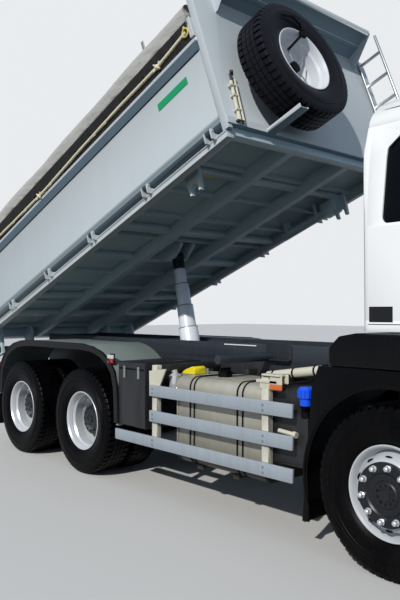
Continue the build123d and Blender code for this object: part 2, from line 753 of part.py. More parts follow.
# The right side's rail with its two lips, as Y and h
rail_section = [
    (-1170, 180), (-1252, 180), (-1252, 190), (-1242, 195), (-1242, 227), (-1252, 232), (-1252, 241), (-1170, 241),
]
with BuildPart(bed_floor_plane) as bed_frame:
    for side in (1, -1):
        near, far = sorted((side * (beam_out - beam_width), side * beam_out))
        block((bed_rear, bed_front - 40), (near, far), (beam_under, floor_under))
    for number in range(11):
        along = number * crossbar_pitch
        block((along - 20, along + 20), (-1175, 1175), (slim_bar_under, floor_under))
    for along in (560, 1180, 2370, 3060, side_socket_along):
        block((along - 35, along + 35), (-1175, 1175), (crossbar_under, floor_under))
    block((bed_rear, bed_rear + 80), (-1180, 1180), (beam_under, floor_under))
    block((bed_front - 110, bed_front - 40), (-1180, 1180), (beam_under, floor_under))
    block((bed_rear, bed_front - 40), (-1180, -1170), (180, floor_under))
    section(rail_section, (bed_rear, bed_front - 40), bed_cross_plane)
    block((bed_rear, bed_front - 75), (1170, 1180), (crossbar_under - 40, floor_under))
    block((bed_rear, bed_front - 75), (1170, 1235), (crossbar_under - 40, crossbar_under - 10))
    # Hydraulic lock of the left board under the floor's far edge
    round_bar_along((1040, 205), (3380, 4020), 48)
    block((4000, 4180), (975, 1105), (145, 290))
    block((3440, 3480), (985, 1095), (205, floor_under))
    block((3900, 3940), (985, 1095), (205, floor_under))
    for side in (1, -1):
        for inner in (600, 1030):
            near, far = sorted((side * inner, side * (inner + 40)))
            slab([(-110, 240), (-70, 0), (-70, -70), (70, -70), (70, 0), (110, 240), (110, 290), (-110, 290)],
                 (near, far), bed_side_plane)
            round_bar((0, 0), (near, far), shaft_radius + 2, bed_side_plane, mode=Mode.SUBTRACT)
        near, far = sorted((side * 1030, side * 1070))
        slab([(side_socket_along - 100, 290), (side_socket_along - 70, 60), (side_socket_along + 70, 60),
              (side_socket_along + 100, 290)], (near, far), bed_side_plane)
        slab([(side_socket_along - 46, 0), (side_socket_along + 46, 0), (side_socket_along + 46, 120),
              (side_socket_along, 148), (side_socket_along - 46, 120)],
             (near, far), bed_side_plane, mode=Mode.SUBTRACT)
        near, far = sorted((side * 1200, side * board_outer))
        block((-260, -180), (near, far), (225, 1260))
        near, far = sorted((side * 74, side * 104))
        slab([(2400, floor_under), (2400, crossbar_under), (eye_along - 60, eye_h - 45),
              (eye_along + 60, eye_h - 45), (2830, crossbar_under), (2830, floor_under)],
             (near, far), bed_side_plane)
        for along in lug_along:
            for shift in (-45, 33):
                section([(side * out, h) for out, h in fork_section], (along + shift, along + shift + 12),
                        bed_cross_plane)
            round_bar_along((side * board_hinge_out, board_hinge_h), (along - 52, along + 52), 9)
        near, far = sorted((side * 1126, side * 1210))
        round_bar((gate_hinge_along, gate_hinge_h), (near, far), 15, bed_side_plane)
save("bed_frame", bed_frame)

# Front wall with its corner posts, the canopy over the cab gap, the spare wheel's arm and the ladder
canopy_half = 1000
canopy_reach = 300
spare_arm = ((-796, 314), (-704, 296))
with BuildPart(bed_floor_plane) as front_wall:
    block((bed_front - 40, bed_front), (-1200, 1200), (crossbar_under, wall_top))
    for side in (1, -1):
        near, far = sorted((side * 1200, side * board_outer))
        block((bed_front - 70, bed_front), (near, far), (242, wall_top))
    slab([(bed_front - 40, wall_top - 20), (bed_front, wall_top - 20), (bed_front + canopy_reach, 1684),
          (bed_front + canopy_reach, 1704), (bed_front - 40, wall_top + 4)], (-canopy_half, canopy_half),
         bed_side_plane)
    both_sides([(bed_front, wall_top - 10), (bed_front + canopy_reach, 1690), (bed_front + canopy_reach, 1655),
                (bed_front + 30, 1440), (bed_front, 1440)], canopy_half - 10, canopy_half, bed_side_plane)
    slab([(bed_front + canopy_reach - 30, 1655), (bed_front + canopy_reach + 4, 1662),
          (bed_front + canopy_reach + 4, 1712), (bed_front + canopy_reach - 30, 1702)],
         (-canopy_half - 6, canopy_half + 6), bed_side_plane)
    slab([(bed_front + 110, 1612), (bed_front + 150, 1622), (bed_front + 150, 1645), (bed_front + 110, 1635)],
         (-canopy_half, canopy_half), bed_side_plane)
    block((bed_front - 40, bed_front + 12), (-1250, 1250), (crossbar_under, crossbar_under + 70))
    # Channel arm under the spare wheel
    for out, top in spare_arm:
        block((bed_front - 10, bed_front + 390), (out - 4, out + 4), (276, top))
    block((bed_front - 10, bed_front + 390), (spare_arm[0][0], spare_arm[1][0]), (276, 284))
save("front_wall", front_wall)

ladder_out = 1125
ladder_rungs = [455, 715, 975, 1240, 1500]
with BuildPart(bed_floor_plane) as ladder:
    for along, rail_top in ((bed_front + 15, 1570), (bed_front + 290, 1700)):
        with Locations((along, ladder_out, (420 + rail_top) / 2)):
            Cylinder(14, rail_top - 420)
    for h in ladder_rungs:
        block((bed_front, bed_front + 290), (ladder_out - 12, ladder_out + 12), (h - 12, h + 12))
save("ladder", ladder)

# Spare wheel on the front wall, its axis along the bed
spare_y = -530
spare_h = 810
spare_middle = bed_front + 273
spare_axis_base = bed_frame_location * Pos(spare_middle, spare_y, spare_h)
spare_plane = Plane(spare_axis_base)
spare_axis = Axis(spare_plane.origin, spare_plane.x_dir)
with BuildPart() as spare_tyre:
    with BuildSketch(spare_plane):
        with BuildLine():
            Polyline(*mirrored(tyre_half_section), close=True)
        make_face()
    revolve(axis=spare_axis)
save("spare_tyre", spare_tyre)
with BuildPart() as spare_rim:
    for points in (rim_section, [(-out, radius) for out, radius in rim_disc_section(twin_disc_offset)]):
        with BuildSketch(spare_plane):
            with BuildLine():
                Polyline(*points, close=True)
            make_face()
        revolve(axis=spare_axis)
    with BuildSketch(Plane(spare_axis_base * Pos(-223, 0, 0) * Rot(0, 90, 0))):
        Circle(120)
    extrude(amount=62)
save("spare_rim", spare_rim)

# Tarpaulin rolled up along the right side, on the tube that carries it
roll_out = -1190
roll_h = 1430
roll_radius = 100
with BuildPart(bed_floor_plane) as tarp_roll:
    with Locations(Location(((4800 - 150) / 2, roll_out, roll_h), (0, 90, 0))):
        Cylinder(roll_radius, 4950)
        Cylinder(26, 4950, mode=Mode.SUBTRACT)
save("tarp_roll", tarp_roll)
with BuildPart(bed_floor_plane) as tarp_tube:
    with Locations(Location(((4830 - 260) / 2, roll_out, roll_h), (0, 90, 0))):
        Cylinder(25, 4830 + 260)
    block((-260, -220), (roll_out - 25, roll_out + 25), (1260, roll_h + 10))
save("tarp_tube", tarp_tube)

# Side boards, hinged along their lower edge: out from the middle, h
board_section = [
    (board_inner, 330), (1230, 343), (board_outer, 370), (board_outer, 392), (1241, 402), (1241, 1030),
    (board_outer, 1046), (board_outer, board_top), (board_inner, board_top),
]
board_tube_centre = (1216, 316)
board_tube_radius = 32
for name, side in (("left", 1), ("right", -1)):
    with BuildPart(bed_floor_plane) as side_board:
        section([(side * out, h) for out, h in board_section], (-170, bed_front - 80), bed_cross_plane)
        tube_out, tube_h = board_tube_centre
        round_bar_along((side * tube_out, tube_h), (-170, bed_front - 80), board_tube_radius)
        for along in lug_along:
            near, far = sorted((side * tube_out, side * board_hinge_out))
            block((along - 25, along + 25), (near, far), (board_hinge_h - 12, board_hinge_h + 14))
            round_bar_along((side * board_hinge_out, board_hinge_h), (along - 25, along + 25), 22)
            round_bar_along((side * board_hinge_out, board_hinge_h), (along - 25, along + 25), 10,
                            mode=Mode.SUBTRACT)
    save("side_board_" + name, side_board)

# Tailgate, hinged along its upper edge
with BuildPart(bed_floor_plane) as tailgate:
    block((-250, -200), (-1190, 1190), (380, 1120))
    # Pressed fields between its ribs
    with Locations((-250, 0, 750)):
        with GridLocations(1, 580, 1, 4):
            Box(34, 500, 600, mode=Mode.SUBTRACT)
    for side in (1, -1):
        near, far = sorted((side * 1130, side * 1190))
        block((-250, -200), (near, far), (1100, gate_hinge_h))
        round_bar((gate_hinge_along, gate_hinge_h), (near, far), 30, bed_side_plane)
        round_bar((gate_hinge_along, gate_hinge_h), (near, far), 16, bed_side_plane, mode=Mode.SUBTRACT)
save("tailgate", tailgate)

# Telescopic cylinder: radius, low end and high end along its axis from the trunnion when closed
stage_table = [
    ("cylinder_barrel", 125, -330, 240), ("cylinder_stage_1", 108, -310, 260),
    ("cylinder_stage_2", 93, -300, 280), ("cylinder_stage_3", 79, -290, 300),
    ("cylinder_stage_4", 66, -280, 320),
]
stage_wall = 10
eye_point = bed_frame_location * Pos(eye_along, 0, eye_h)
trunnion_point = Vector(at(trunnion_at), 0, trunnion_z)
cylinder_axis = (eye_point.position - trunnion_point).normalized()
for number, (name, radius, low, high) in enumerate(stage_table):
    stage_plane = Plane(trunnion_point + cylinder_axis * (low + number * stage_extension), (0, 1, 0), cylinder_axis)
    with BuildPart() as stage:
        with BuildSketch(stage_plane):
            Circle(radius)
        extrude(amount=high - low)
        if number < len(stage_table) - 1:
            with BuildSketch(stage_plane.offset(stage_wall)):
                Circle(stage_table[number + 1][1] + 3)
            extrude(amount=high - low, mode=Mode.SUBTRACT)
        else:
            with BuildSketch(stage_plane.offset(high - low)):
                Rectangle(100, 90)
            extrude(amount=110)
        if number == 0:
            for near, far in ((110, 212), (-212, -110)):
                round_bar((at(trunnion_at), trunnion_z), (near, far), 26)
            with BuildSketch(stage_plane.offset(stage_wall)):
                Circle(stage_table[1][1] + 3)
            extrude(amount=high - low, mode=Mode.SUBTRACT)
    save(name, stage)
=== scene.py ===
import json
from itertools import product
from math import atan2, cos, dist, pi, radians, sin

import bmesh
import bpy
from mathutils import Matrix, Vector, noise as terrain

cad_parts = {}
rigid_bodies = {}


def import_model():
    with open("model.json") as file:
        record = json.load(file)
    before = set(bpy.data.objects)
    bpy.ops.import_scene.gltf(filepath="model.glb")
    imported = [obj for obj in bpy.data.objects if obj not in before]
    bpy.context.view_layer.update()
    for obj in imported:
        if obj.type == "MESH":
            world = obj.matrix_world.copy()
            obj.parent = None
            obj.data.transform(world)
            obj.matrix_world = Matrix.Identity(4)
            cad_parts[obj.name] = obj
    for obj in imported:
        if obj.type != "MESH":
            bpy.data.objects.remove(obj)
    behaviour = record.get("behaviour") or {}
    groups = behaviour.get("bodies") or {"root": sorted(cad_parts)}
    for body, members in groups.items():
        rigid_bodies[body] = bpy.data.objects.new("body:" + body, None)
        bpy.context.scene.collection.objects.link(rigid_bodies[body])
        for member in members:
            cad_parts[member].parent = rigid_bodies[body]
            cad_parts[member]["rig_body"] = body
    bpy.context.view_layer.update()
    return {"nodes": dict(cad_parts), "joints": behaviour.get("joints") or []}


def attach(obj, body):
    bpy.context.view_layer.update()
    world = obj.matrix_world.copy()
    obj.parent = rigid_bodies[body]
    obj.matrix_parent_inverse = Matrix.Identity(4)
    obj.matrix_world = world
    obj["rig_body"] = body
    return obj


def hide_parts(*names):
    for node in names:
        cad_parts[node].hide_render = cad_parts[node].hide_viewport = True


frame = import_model()
nodes = frame["nodes"]
joints = {joint["name"]: joint for joint in frame["joints"]}

# Lengths are in metres. Ahead is measured forward from the rearmost axle, out from the truck's middle.
rear_axle_x, _, tyre_radius = joints["rear_left_wheel_spin"]["pos_m"]
sides = (("left", 1), ("right", -1))

# The bed's own frame: along its floor from the tipping shaft, out to the left, and up square to the floor
tipping = joints["bed_tipping"]
bed_rise = radians(-tipping["range_deg"][0])
bed_place = Matrix.Translation(tipping["pos_m"]) @ Matrix.Rotation(-bed_rise, 4, "Y")
truck_place = Matrix.Translation((rear_axle_x, 0, 0))
bed_front = 4.9
board_out = 1.25
guard_post_out = 1.2155
spare_along, spare_out, spare_h = bed_front + 0.273, -0.53, 0.81
trunnion = Vector(joints["barrel_swing"]["pos_m"])
cylinder_axis = Vector(joints["stage_1_slide"]["axis"]).normalized()


def srgb(red, green, blue):
    """A colour read as 0 to 255, made linear for a shader"""
    return tuple((channel / 255) ** 2.2 for channel in (red, green, blue)) + (1.0,)


bed_colour = srgb(185, 194, 198)
# Painted shade for the bed's underside: the bed's own paint made bluer, standing in for the sky-lit shade
# under the bed
underside_shade_colour = srgb(182, 204, 210)
# Painted shadow of the tarpaulin along the top of the side boards
shaded_colour = srgb(76, 92, 104)
amber_colour = srgb(228, 108, 26)
cloth_dust = srgb(150, 143, 130)


# Shader nodes

def feed(tree, socket, value):
    """Links a socket to another one, or sets it to a plain value"""
    if isinstance(value, bpy.types.NodeSocket):
        tree.links.new(value, socket)
    else:
        socket.default_value = value


def add_node(tree, kind, settings=None, inputs=None):
    made = tree.nodes.new("ShaderNode" + kind)
    for name, value in (settings or {}).items():
        setattr(made, name, value)
    for name, value in (inputs or {}).items():
        feed(tree, made.inputs[name], value)
    return made


def new_group(name, inputs, outputs):
    """A shader group with float or colour inputs, given with their first values, and named outputs"""
    group = bpy.data.node_groups.new(name, "ShaderNodeTree")
    for socket_name, value in inputs.items():
        kind = "NodeSocketColor" if isinstance(value, tuple) else "NodeSocketFloat"
        socket = group.interface.new_socket(socket_name, in_out="INPUT", socket_type=kind)
        socket.default_value = value
    for socket_name, kind in outputs.items():
        group.interface.new_socket(socket_name, in_out="OUTPUT", socket_type="NodeSocket" + kind)
    return group, group.nodes.new("NodeGroupInput"), group.nodes.new("NodeGroupOutput")


def noise(tree, vector, scale, detail=4.0, roughness=0.6):
    return add_node(tree, "TexNoise", inputs={
        "Vector": vector, "Scale": scale, "Detail": detail, "Roughness": roughness}).outputs["Fac"]


def ramp(tree, value, low, high, low_out=0.0, high_out=1.0):
    """A value taken from one span to another and held at its ends"""
    made = add_node(tree, "MapRange", {"clamp": True}, {
        "Value": value, "From Min": low, "From Max": high, "To Min": low_out, "To Max": high_out})
    return made.outputs["Result"]


def mix_colour(tree, factor, first, second):
    made = add_node(tree, "Mix", {"data_type": "RGBA"})
    # A Mix node has sockets of the same names for each type; 0, 6 and 7 are those of its colours
    for socket, value in ((made.inputs[0], factor), (made.inputs[6], first), (made.inputs[7], second)):
        feed(tree, socket, value)
    return made.outputs[2]


def calc(tree, operation, first, second=0.0):
    made = add_node(tree, "Math", {"operation": operation})
    for socket, value in zip(made.inputs, (first, second)):
        feed(tree, socket, value)
    return made.outputs[0]


def times(tree, first, second):
    return calc(tree, "MULTIPLY", first, second)


def plus(tree, first, second):
    return calc(tree, "ADD", first, second)


def place_on(tree):
    """The place on the object, in metres"""
    return add_node(tree, "TexCoord").outputs["Object"]


def axis_of(tree, vector, axis):
    return add_node(tree, "SeparateXYZ", inputs={"Vector": vector}).outputs[axis]


def facing_up(tree):
    """How far the surface faces up, from -1 to 1"""
    return axis_of(tree, add_node(tree, "NewGeometry").outputs["Normal"], "Z")


def along_axis(tree, direction):
    """Distance from the object's origin along a direction"""
    return add_node(tree, "VectorMath", {"operation": "DOT_PRODUCT"}, {
        0: place_on(tree), 1: direction}).outputs["Value"]


def waves(tree, axis, scale):
    return add_node(tree, "TexWave", {"bands_direction": axis}, {
        "Vector": place_on(tree), "Scale": scale}).outputs["Fac"]


def mapped(tree, vector, scale, rotation=(0, 0, 0)):
    """A place stretched and turned, for a pattern that runs one way"""
    return add_node(tree, "Mapping", inputs={
        "Vector": vector, "Rotation": rotation, "Scale": scale}).outputs["Vector"]


def make_dusty_group():
    """Colour and roughness of a surface with slow tone changes, fine specks and road dust low down"""
    tree, given, out = new_group(
        "dusty_surface",
        {"Color": (0.5, 0.5, 0.5, 1), "Dust Color": (0.3, 0.27, 0.22, 1), "Dust": 0.3, "Roughness": 0.4,
         "Tone": 0.08},
        {"Color": "Color", "Roughness": "Float", "Height": "Float"})
    place = place_on(tree)
    slow = noise(tree, place, scale=1.7, detail=3.0, roughness=0.5)
    fine = noise(tree, place, scale=46.0, detail=5.0, roughness=0.7)
    upright = mapped(tree, place, (5.0, 5.0, 0.55))
    streak = noise(tree, upright, scale=3.0, detail=6.0, roughness=0.65)
    tone = times(tree, calc(tree, "SUBTRACT", slow, 0.5), given.outputs["Tone"])
    toned = add_node(tree, "HueSaturation", inputs={
        "Color": given.outputs["Color"], "Value": plus(tree, times(tree, tone, 4.0), 1.0)})
    height = axis_of(tree, place, "Z")
    low_down = ramp(tree, height, 0.2, 1.6, 1.0, 0.25)
    patches = ramp(tree, times(tree, streak, plus(tree, fine, 0.45)), 0.36, 0.66)
    cover = times(tree, times(tree, patches, low_down), given.outputs["Dust"])
    colour = mix_colour(tree, cover, toned.outputs["Color"], given.outputs["Dust Color"])
    tree.links.new(colour, out.inputs["Color"])
    rough = plus(tree, given.outputs["Roughness"], times(tree, cover, 0.4))
    rough = plus(tree, rough, times(tree, calc(tree, "SUBTRACT", fine, 0.5), 0.08))
    tree.links.new(rough, out.inputs["Roughness"])
    tree.links.new(plus(tree, slow, times(tree, fine, 0.15)), out.inputs["Height"])
    return tree


def make_grain_group():
    """Fine brushed lines that run along one axis of the object"""
    tree, given, out = new_group(
        "brushed_grain", {"Across": 240.0, "Along": 3.0, "Color": (0.6, 0.6, 0.6, 1)},
        {"Color": "Color", "Height": "Float"})
    place = place_on(tree)
    along, across = given.outputs["Along"], given.outputs["Across"]
    scale = add_node(tree, "CombineXYZ", inputs={"X": along, "Y": across, "Z": across})
    stretched = add_node(tree, "VectorMath", {"operation": "MULTIPLY"}, {
        0: place, 1: scale.outputs["Vector"]})
    lines = noise(tree, stretched.outputs["Vector"], scale=1.0, detail=3.0, roughness=0.7)
    clouds = noise(tree, place, scale=6.0, detail=4.0, roughness=0.6)
    value = plus(tree, times(tree, lines, 0.25), times(tree, clouds, 0.35))
    shade = add_node(tree, "HueSaturation", inputs={
        "Color": given.outputs["Color"], "Value": plus(tree, value, 0.7)})
    tree.links.new(shade.outputs["Color"], out.inputs["Color"])
    tree.links.new(lines, out.inputs["Height"])
    return tree


dusty_group = make_dusty_group()
grain_group = make_grain_group()


def new_material(name, metallic=0.0, coat=0.0, specular=0.5):
    material = bpy.data.materials.new(name)
    material.use_nodes = True
    tree = material.node_tree
    shader = tree.nodes["Principled BSDF"]
    shader.inputs["Metallic"].default_value = metallic
    shader.inputs["Coat Weight"].default_value = coat
    shader.inputs["Specular IOR Level"].default_value = specular
    return material, tree, shader


def bump(tree, shader, height, strength, distance):
    made = add_node(tree, "Bump", inputs={"Height": height, "Strength": strength, "Distance": distance})
    tree.links.new(made.outputs["Normal"], shader.inputs["Normal"])


def dusty(tree, shader, colour, dust, roughness, tone, dust_colour=srgb(112, 107, 99), ripple=None):
    """The shared dusty surface placed in a material, with the slight ripple of paint where one is given"""
    effect = add_node(tree, "Group", {"node_tree": dusty_group}, {
        "Color": colour, "Dust Color": dust_colour, "Dust": dust, "Roughness": roughness, "Tone": tone})
    tree.links.new(effect.outputs["Color"], shader.inputs["Base Color"])
    tree.links.new(effect.outputs["Roughness"], shader.inputs["Roughness"])
    if ripple:
        bump(tree, shader, effect.outputs["Height"], strength=ripple, distance=0.004)
    return effect


def painted(name, colour, roughness=0.35, dust=0.2, tone=0.03, coat=0.0, metallic=0.0, ripple=0.15,
            specular=0.5):
    material, tree, shader = new_material(name, metallic, coat, specular)
    dusty(tree, shader, colour, dust, roughness, tone, ripple=ripple)
    return material


def banded(name, colours, borders, roughness=0.4, dust=0.25):
    """Finishes that follow each other outward from the middle of the truck"""
    material, tree, shader = new_material(name)
    out = calc(tree, "ABSOLUTE", axis_of(tree, place_on(tree), "Y"))
    colour = colours[0]
    for border, following in zip(borders, colours[1:]):
        colour = mix_colour(tree, calc(tree, "GREATER_THAN", out, border), colour, following)
    dusty(tree, shader, colour, dust, roughness, tone=0.04, ripple=0.15)
    return material


def grained(tree, colour):
    """The shared brushed grain placed in a material"""
    return add_node(tree, "Group", {"node_tree": grain_group}, {
        "Across": 240.0, "Along": 3.0, "Color": colour})


def brushed(name, colour, roughness=0.3):
    material, tree, shader = new_material(name, metallic=1.0)
    effect = grained(tree, colour)
    dusty(tree, shader, effect.outputs["Color"], dust=0.25, roughness=roughness, tone=0.05)
    bump(tree, shader, effect.outputs["Height"], strength=0.12, distance=0.001)
    return material


def tank_skin():
    """Brushed metal with painted shade: darker towards the tank's bottom, dark on its lowest part and on the
    uprights behind it
    """
    material, tree, shader = new_material("tank_metal_and_shade", metallic=0.35)
    place = place_on(tree)
    height, out = axis_of(tree, place, "Z"), axis_of(tree, place, "Y")
    # Painted shade: darker low down, dark under the tank and on the uprights behind it
    unshaded = times(tree, ramp(tree, height, 0.3, 1.0, 0.42, 1.0), ramp(tree, out, -0.58, -0.66))
    unshaded = times(tree, unshaded, ramp(tree, height, 0.42, 0.5))
    effect = grained(tree, mix_colour(tree, unshaded, srgb(58, 57, 53), srgb(186, 183, 169)))
    dusty(tree, shader, effect.outputs["Color"], dust=0.25, roughness=0.42, tone=0.05)
    bump(tree, shader, effect.outputs["Height"], strength=0.12, distance=0.001)
    return material


def rubber(name, colour, roughness=0.75, dust=0.35):
    material, tree, shader = new_material(name, specular=0.08)
    effect = dusty(tree, shader, colour, dust, roughness, tone=0.06, dust_colour=srgb(105, 100, 92))
    fine = noise(tree, place_on(tree), scale=900.0, detail=2.0, roughness=0.5)
    bump(tree, shader, plus(tree, effect.outputs["Height"], fine), strength=0.25, distance=0.001)
    return material


def height_over_bed(tree):
    """Height square to the bed's floor above its tipping shaft"""
    up = bed_place.to_3x3() @ Vector((0, 0, 1))
    return calc(tree, "SUBTRACT", along_axis(tree, up), bed_place.translation.dot(up))


def banded_board_paint():
    """The boards' pale paint, with painted shade along the pressed foot and the painted shadow of the
    tarpaulin along the top profile
    """
    material, tree, shader = new_material("board_paint_and_shade", coat=0.2)
    height = height_over_bed(tree)
    # Painted shade along the foot: dark in the recess at the bottom, a shaded grey on the edge above it
    foot = mix_colour(tree, ramp(tree, height, 0.334, 0.345), srgb(52, 70, 80), srgb(146, 158, 165))
    colour = mix_colour(tree, ramp(tree, height, 0.372, 0.4), foot, bed_colour)
    # Painted shadow of the tarpaulin along the top profile
    band = times(tree, ramp(tree, height, 1.031, 1.034), ramp(tree, height, 1.128, 1.13, 1.0, 0.0))
    colour = mix_colour(tree, band, colour, shaded_colour)
    dusty(tree, shader, colour, dust=0.16, roughness=0.34, tone=0.03, ripple=0.2)
    return material


def wall_paint():
    """The pale paint, with painted shade where it faces down under the canopy"""
    material, tree, shader = new_material("front_wall_paint_and_shade")
    # Faces that look down get a darker, bluer painted shade
    colour = mix_colour(tree, ramp(tree, facing_up(tree), -0.55, -0.35), srgb(118, 140, 154), bed_colour)
    dusty(tree, shader, colour, dust=0.14, roughness=0.55, tone=0.03, ripple=0.2)
    return material


def rolled_cloth():
    """Pale on top of the roll with painted shade below, and the folds running across at a slant"""
    material, tree, shader = new_material("tarp_cloth_and_shade", specular=0.3)
    place = place_on(tree)
    slanted = mapped(tree, place, (1.1, 3.0, 9.0), rotation=(0, 0.75, 0))
    folds = noise(tree, slanted, scale=1.6, detail=4.0, roughness=0.55)
    # Painted shade on the lower side of the roll, below a border made uneven by the folds
    uneven = times(tree, calc(tree, "SUBTRACT", folds, 0.5), 0.12)
    border = plus(tree, height_over_bed(tree), uneven)
    colour = mix_colour(tree, ramp(tree, border, 1.325, 1.36), srgb(90, 90, 86), srgb(176, 176, 172))
    dusty(tree, shader, colour, dust=0.2, roughness=0.58, tone=0.06, dust_colour=cloth_dust)
    creases = noise(tree, place, scale=9.0, detail=5.0, roughness=0.6)
    bump(tree, shader, plus(tree, creases, folds), strength=0.6, distance=0.02)
    return material


def plastic_with_arch_shade():
    """Dark plastic, with painted shade making it black round the opening of the front wheel"""
    material, tree, shader = new_material("arch_plastic_and_shade", specular=0.15)
    axle = joints["front_left_wheel_spin"]["pos_m"]
    opening_radius = 0.775
    flat = add_node(tree, "VectorMath", {"operation": "MULTIPLY"}, {
        0: place_on(tree), 1: (1, 0, 1)}).outputs["Vector"]
    away = add_node(tree, "VectorMath", {"operation": "DISTANCE"}, {
        0: flat, 1: (axle[0], 0, axle[2])}).outputs["Value"]
    outside = ramp(tree, away, opening_radius - 0.01, opening_radius + 0.01)
    # Painted shade inside the wheel's opening
    colour = mix_colour(tree, outside, srgb(4, 4, 5), srgb(8, 9, 13))
    dusty(tree, shader, colour, dust=0.0, roughness=0.42, tone=0.03)
    return material


def polished_tube():
    """Bright steel of the cylinder's stages, dark with oil near the eye"""
    material, tree, shader = new_material("cylinder_steel", metallic=0.1)
    oily_from = cylinder_axis.dot(trunnion) + 1.165
    oily = ramp(tree, along_axis(tree, cylinder_axis), oily_from, oily_from + 0.015)
    colour = mix_colour(tree, oily, srgb(230, 236, 244), srgb(38, 40, 46))
    dusty(tree, shader, colour, dust=0.08, roughness=0.32, tone=0.02, ripple=0.03)
    return material


def bed_floor_paint():
    """Light and scratched on top; where the faces look down, painted shade in a bluer copy of the paint"""
    material, tree, shader = new_material("bed_floor_paint")
    along_bed = mapped(tree, place_on(tree), (1.2, 30.0, 30.0))
    scratches = ramp(tree, noise(tree, along_bed, scale=3.0, detail=6.0, roughness=0.75), 0.5, 0.62)
    top = mix_colour(tree, times(tree, scratches, 0.5), bed_colour, srgb(140, 140, 136))
    # Faces that look down get the painted shade of the underside
    colour = mix_colour(tree, calc(tree, "GREATER_THAN", facing_up(tree), 0.0), underside_shade_colour, top)
    effect = dusty(tree, shader, colour, dust=0.2, roughness=0.5, tone=0.04)
    bump(tree, shader, plus(tree, effect.outputs["Height"], scratches), strength=0.2, distance=0.002)
    return material


def tinted_glass():
    """Glass that shows the inside through a darkened pane"""
    material, _, shader = new_material("window_glass", specular=0.22)
    shader.inputs["Base Color"].default_value = srgb(3, 4, 10)
    shader.inputs["Roughness"].default_value = 0.03
    shader.inputs["Alpha"].default_value = 0.86
    shader.inputs["IOR"].default_value = 1.5
    return material


def mirror_glass():
    material, _, shader = new_material("mirror_glass", metallic=1.0)
    shader.inputs["Base Color"].default_value = srgb(206, 212, 216)
    shader.inputs["Roughness"].default_value = 0.04
    return material


def lamp_cluster():
    """Clear at the truck's front; white, amber and red side by side at its rear"""
    material, tree, shader = new_material("lamp_cluster", coat=0.6)
    place = place_on(tree)
    out = calc(tree, "ABSOLUTE", axis_of(tree, place, "Y"))
    ahead = axis_of(tree, place, "X")
    colour = srgb(214, 216, 214)
    for value, border, following in (
            (out, 0.79, amber_colour), (out, 0.89, srgb(168, 22, 18)), (ahead, 0.0, srgb(206, 212, 216))):
        colour = mix_colour(tree, calc(tree, "GREATER_THAN", value, border), colour, following)
    ribs = waves(tree, "Y", 34.0)
    tree.links.new(mix_colour(tree, times(tree, ribs, 0.25), colour, srgb(60, 40, 36)),
                   shader.inputs["Base Color"])
    shader.inputs["Roughness"].default_value = 0.12
    bump(tree, shader, ribs, strength=0.3, distance=0.002)
    return material


def lens(name, colour):
    material, tree, shader = new_material(name, coat=0.6)
    ribs = waves(tree, "X", 60.0)
    tree.links.new(mix_colour(tree, times(tree, ribs, 0.3), colour, srgb(40, 12, 8)),
                   shader.inputs["Base Color"])
    shader.inputs["Roughness"].default_value = 0.15
    bump(tree, shader, ribs, strength=0.3, distance=0.002)
    return material


def woven_cloth(name, colour, dust):
    material, tree, shader = new_material(name, specular=0.3)
    dusty(tree, shader, colour, dust, roughness=0.58, tone=0.1, dust_colour=cloth_dust)
    weave = times(tree, plus(tree, waves(tree, "X", 220.0), waves(tree, "Z", 220.0)), 0.05)
    creases = noise(tree, place_on(tree), scale=9.0, detail=5.0, roughness=0.6)
    bump(tree, shader, plus(tree, weave, creases), strength=0.5, distance=0.012)
    return material


# Finishes of this truck

bed_paint = painted("bed_paint", bed_colour, roughness=0.34, dust=0.16, tone=0.03, coat=0.2, ripple=0.2)
board_paint_and_shade = banded_board_paint()
front_wall_paint_and_shade = wall_paint()
# Painted shadow of the tarpaulin, for the thin strips along the boards' top
shaded_paint = painted("shaded_paint", shaded_colour, roughness=0.4, dust=0.12, tone=0.05)
# The bed's paint on the frame's outer rails, with painted shade on the parts inside, under the floor
underframe_paint_and_shade = banded("underframe_paint_and_shade", (underside_shade_colour, bed_colour), (1.169,))
floor_paint_and_shade = bed_floor_paint()
cab_paint = painted("cab_paint", srgb(247, 249, 249), roughness=0.22, dust=0.02, tone=0.005, coat=0.4,
                    ripple=0.02)
chassis_paint = painted("chassis_paint", srgb(34, 39, 45), roughness=0.48, dust=0.16, tone=0.06)
subframe_paint = painted("subframe_paint", srgb(40, 47, 55), roughness=0.48, dust=0.14, tone=0.05)
arch_plastic_and_shade = plastic_with_arch_shade()
dark_plastic = painted("dark_plastic", srgb(8, 8, 11), roughness=0.28, dust=0.02, tone=0.04, specular=0.2)
trim_plastic = painted("trim_plastic", srgb(42, 44, 48), roughness=0.6, dust=0.15, tone=0.05)
sticker_black = painted("sticker_black", srgb(20, 20, 24), roughness=0.3, dust=0.02, tone=0.02)
box_paint = painted("box_paint", srgb(34, 35, 39), roughness=0.45, dust=0.12, tone=0.05)
cast_iron = painted("cast_iron", srgb(50, 50, 51), roughness=0.7, dust=0.35, tone=0.1)
hub_paint = painted("hub_paint", srgb(15, 18, 25), roughness=0.4, dust=0.04, tone=0.06)
galvanised = painted("galvanised", srgb(134, 146, 142), roughness=0.5, dust=0.25, tone=0.1, metallic=0.25)
rim_paint = painted("rim_paint", srgb(214, 218, 222), roughness=0.3, dust=0.06, tone=0.01, metallic=0.35,
                    ripple=0.02)
spare_rim_paint = painted("spare_rim_paint", srgb(206, 210, 216), roughness=0.4, dust=0.06, tone=0.02)
polished_nut = painted("polished_nut", srgb(224, 226, 228), roughness=0.24, dust=0.04, metallic=0.6,
                       ripple=0.02)
cream_paint = painted("cream_paint", srgb(208, 205, 186), roughness=0.5, dust=0.3, tone=0.06)
guard_metal = banded("guard_metal", (srgb(40, 42, 44), srgb(206, 204, 190), srgb(156, 166, 175)),
                     (1.16, guard_post_out), roughness=0.42)
tank_metal_and_shade = tank_skin()
cylinder_steel = polished_tube()
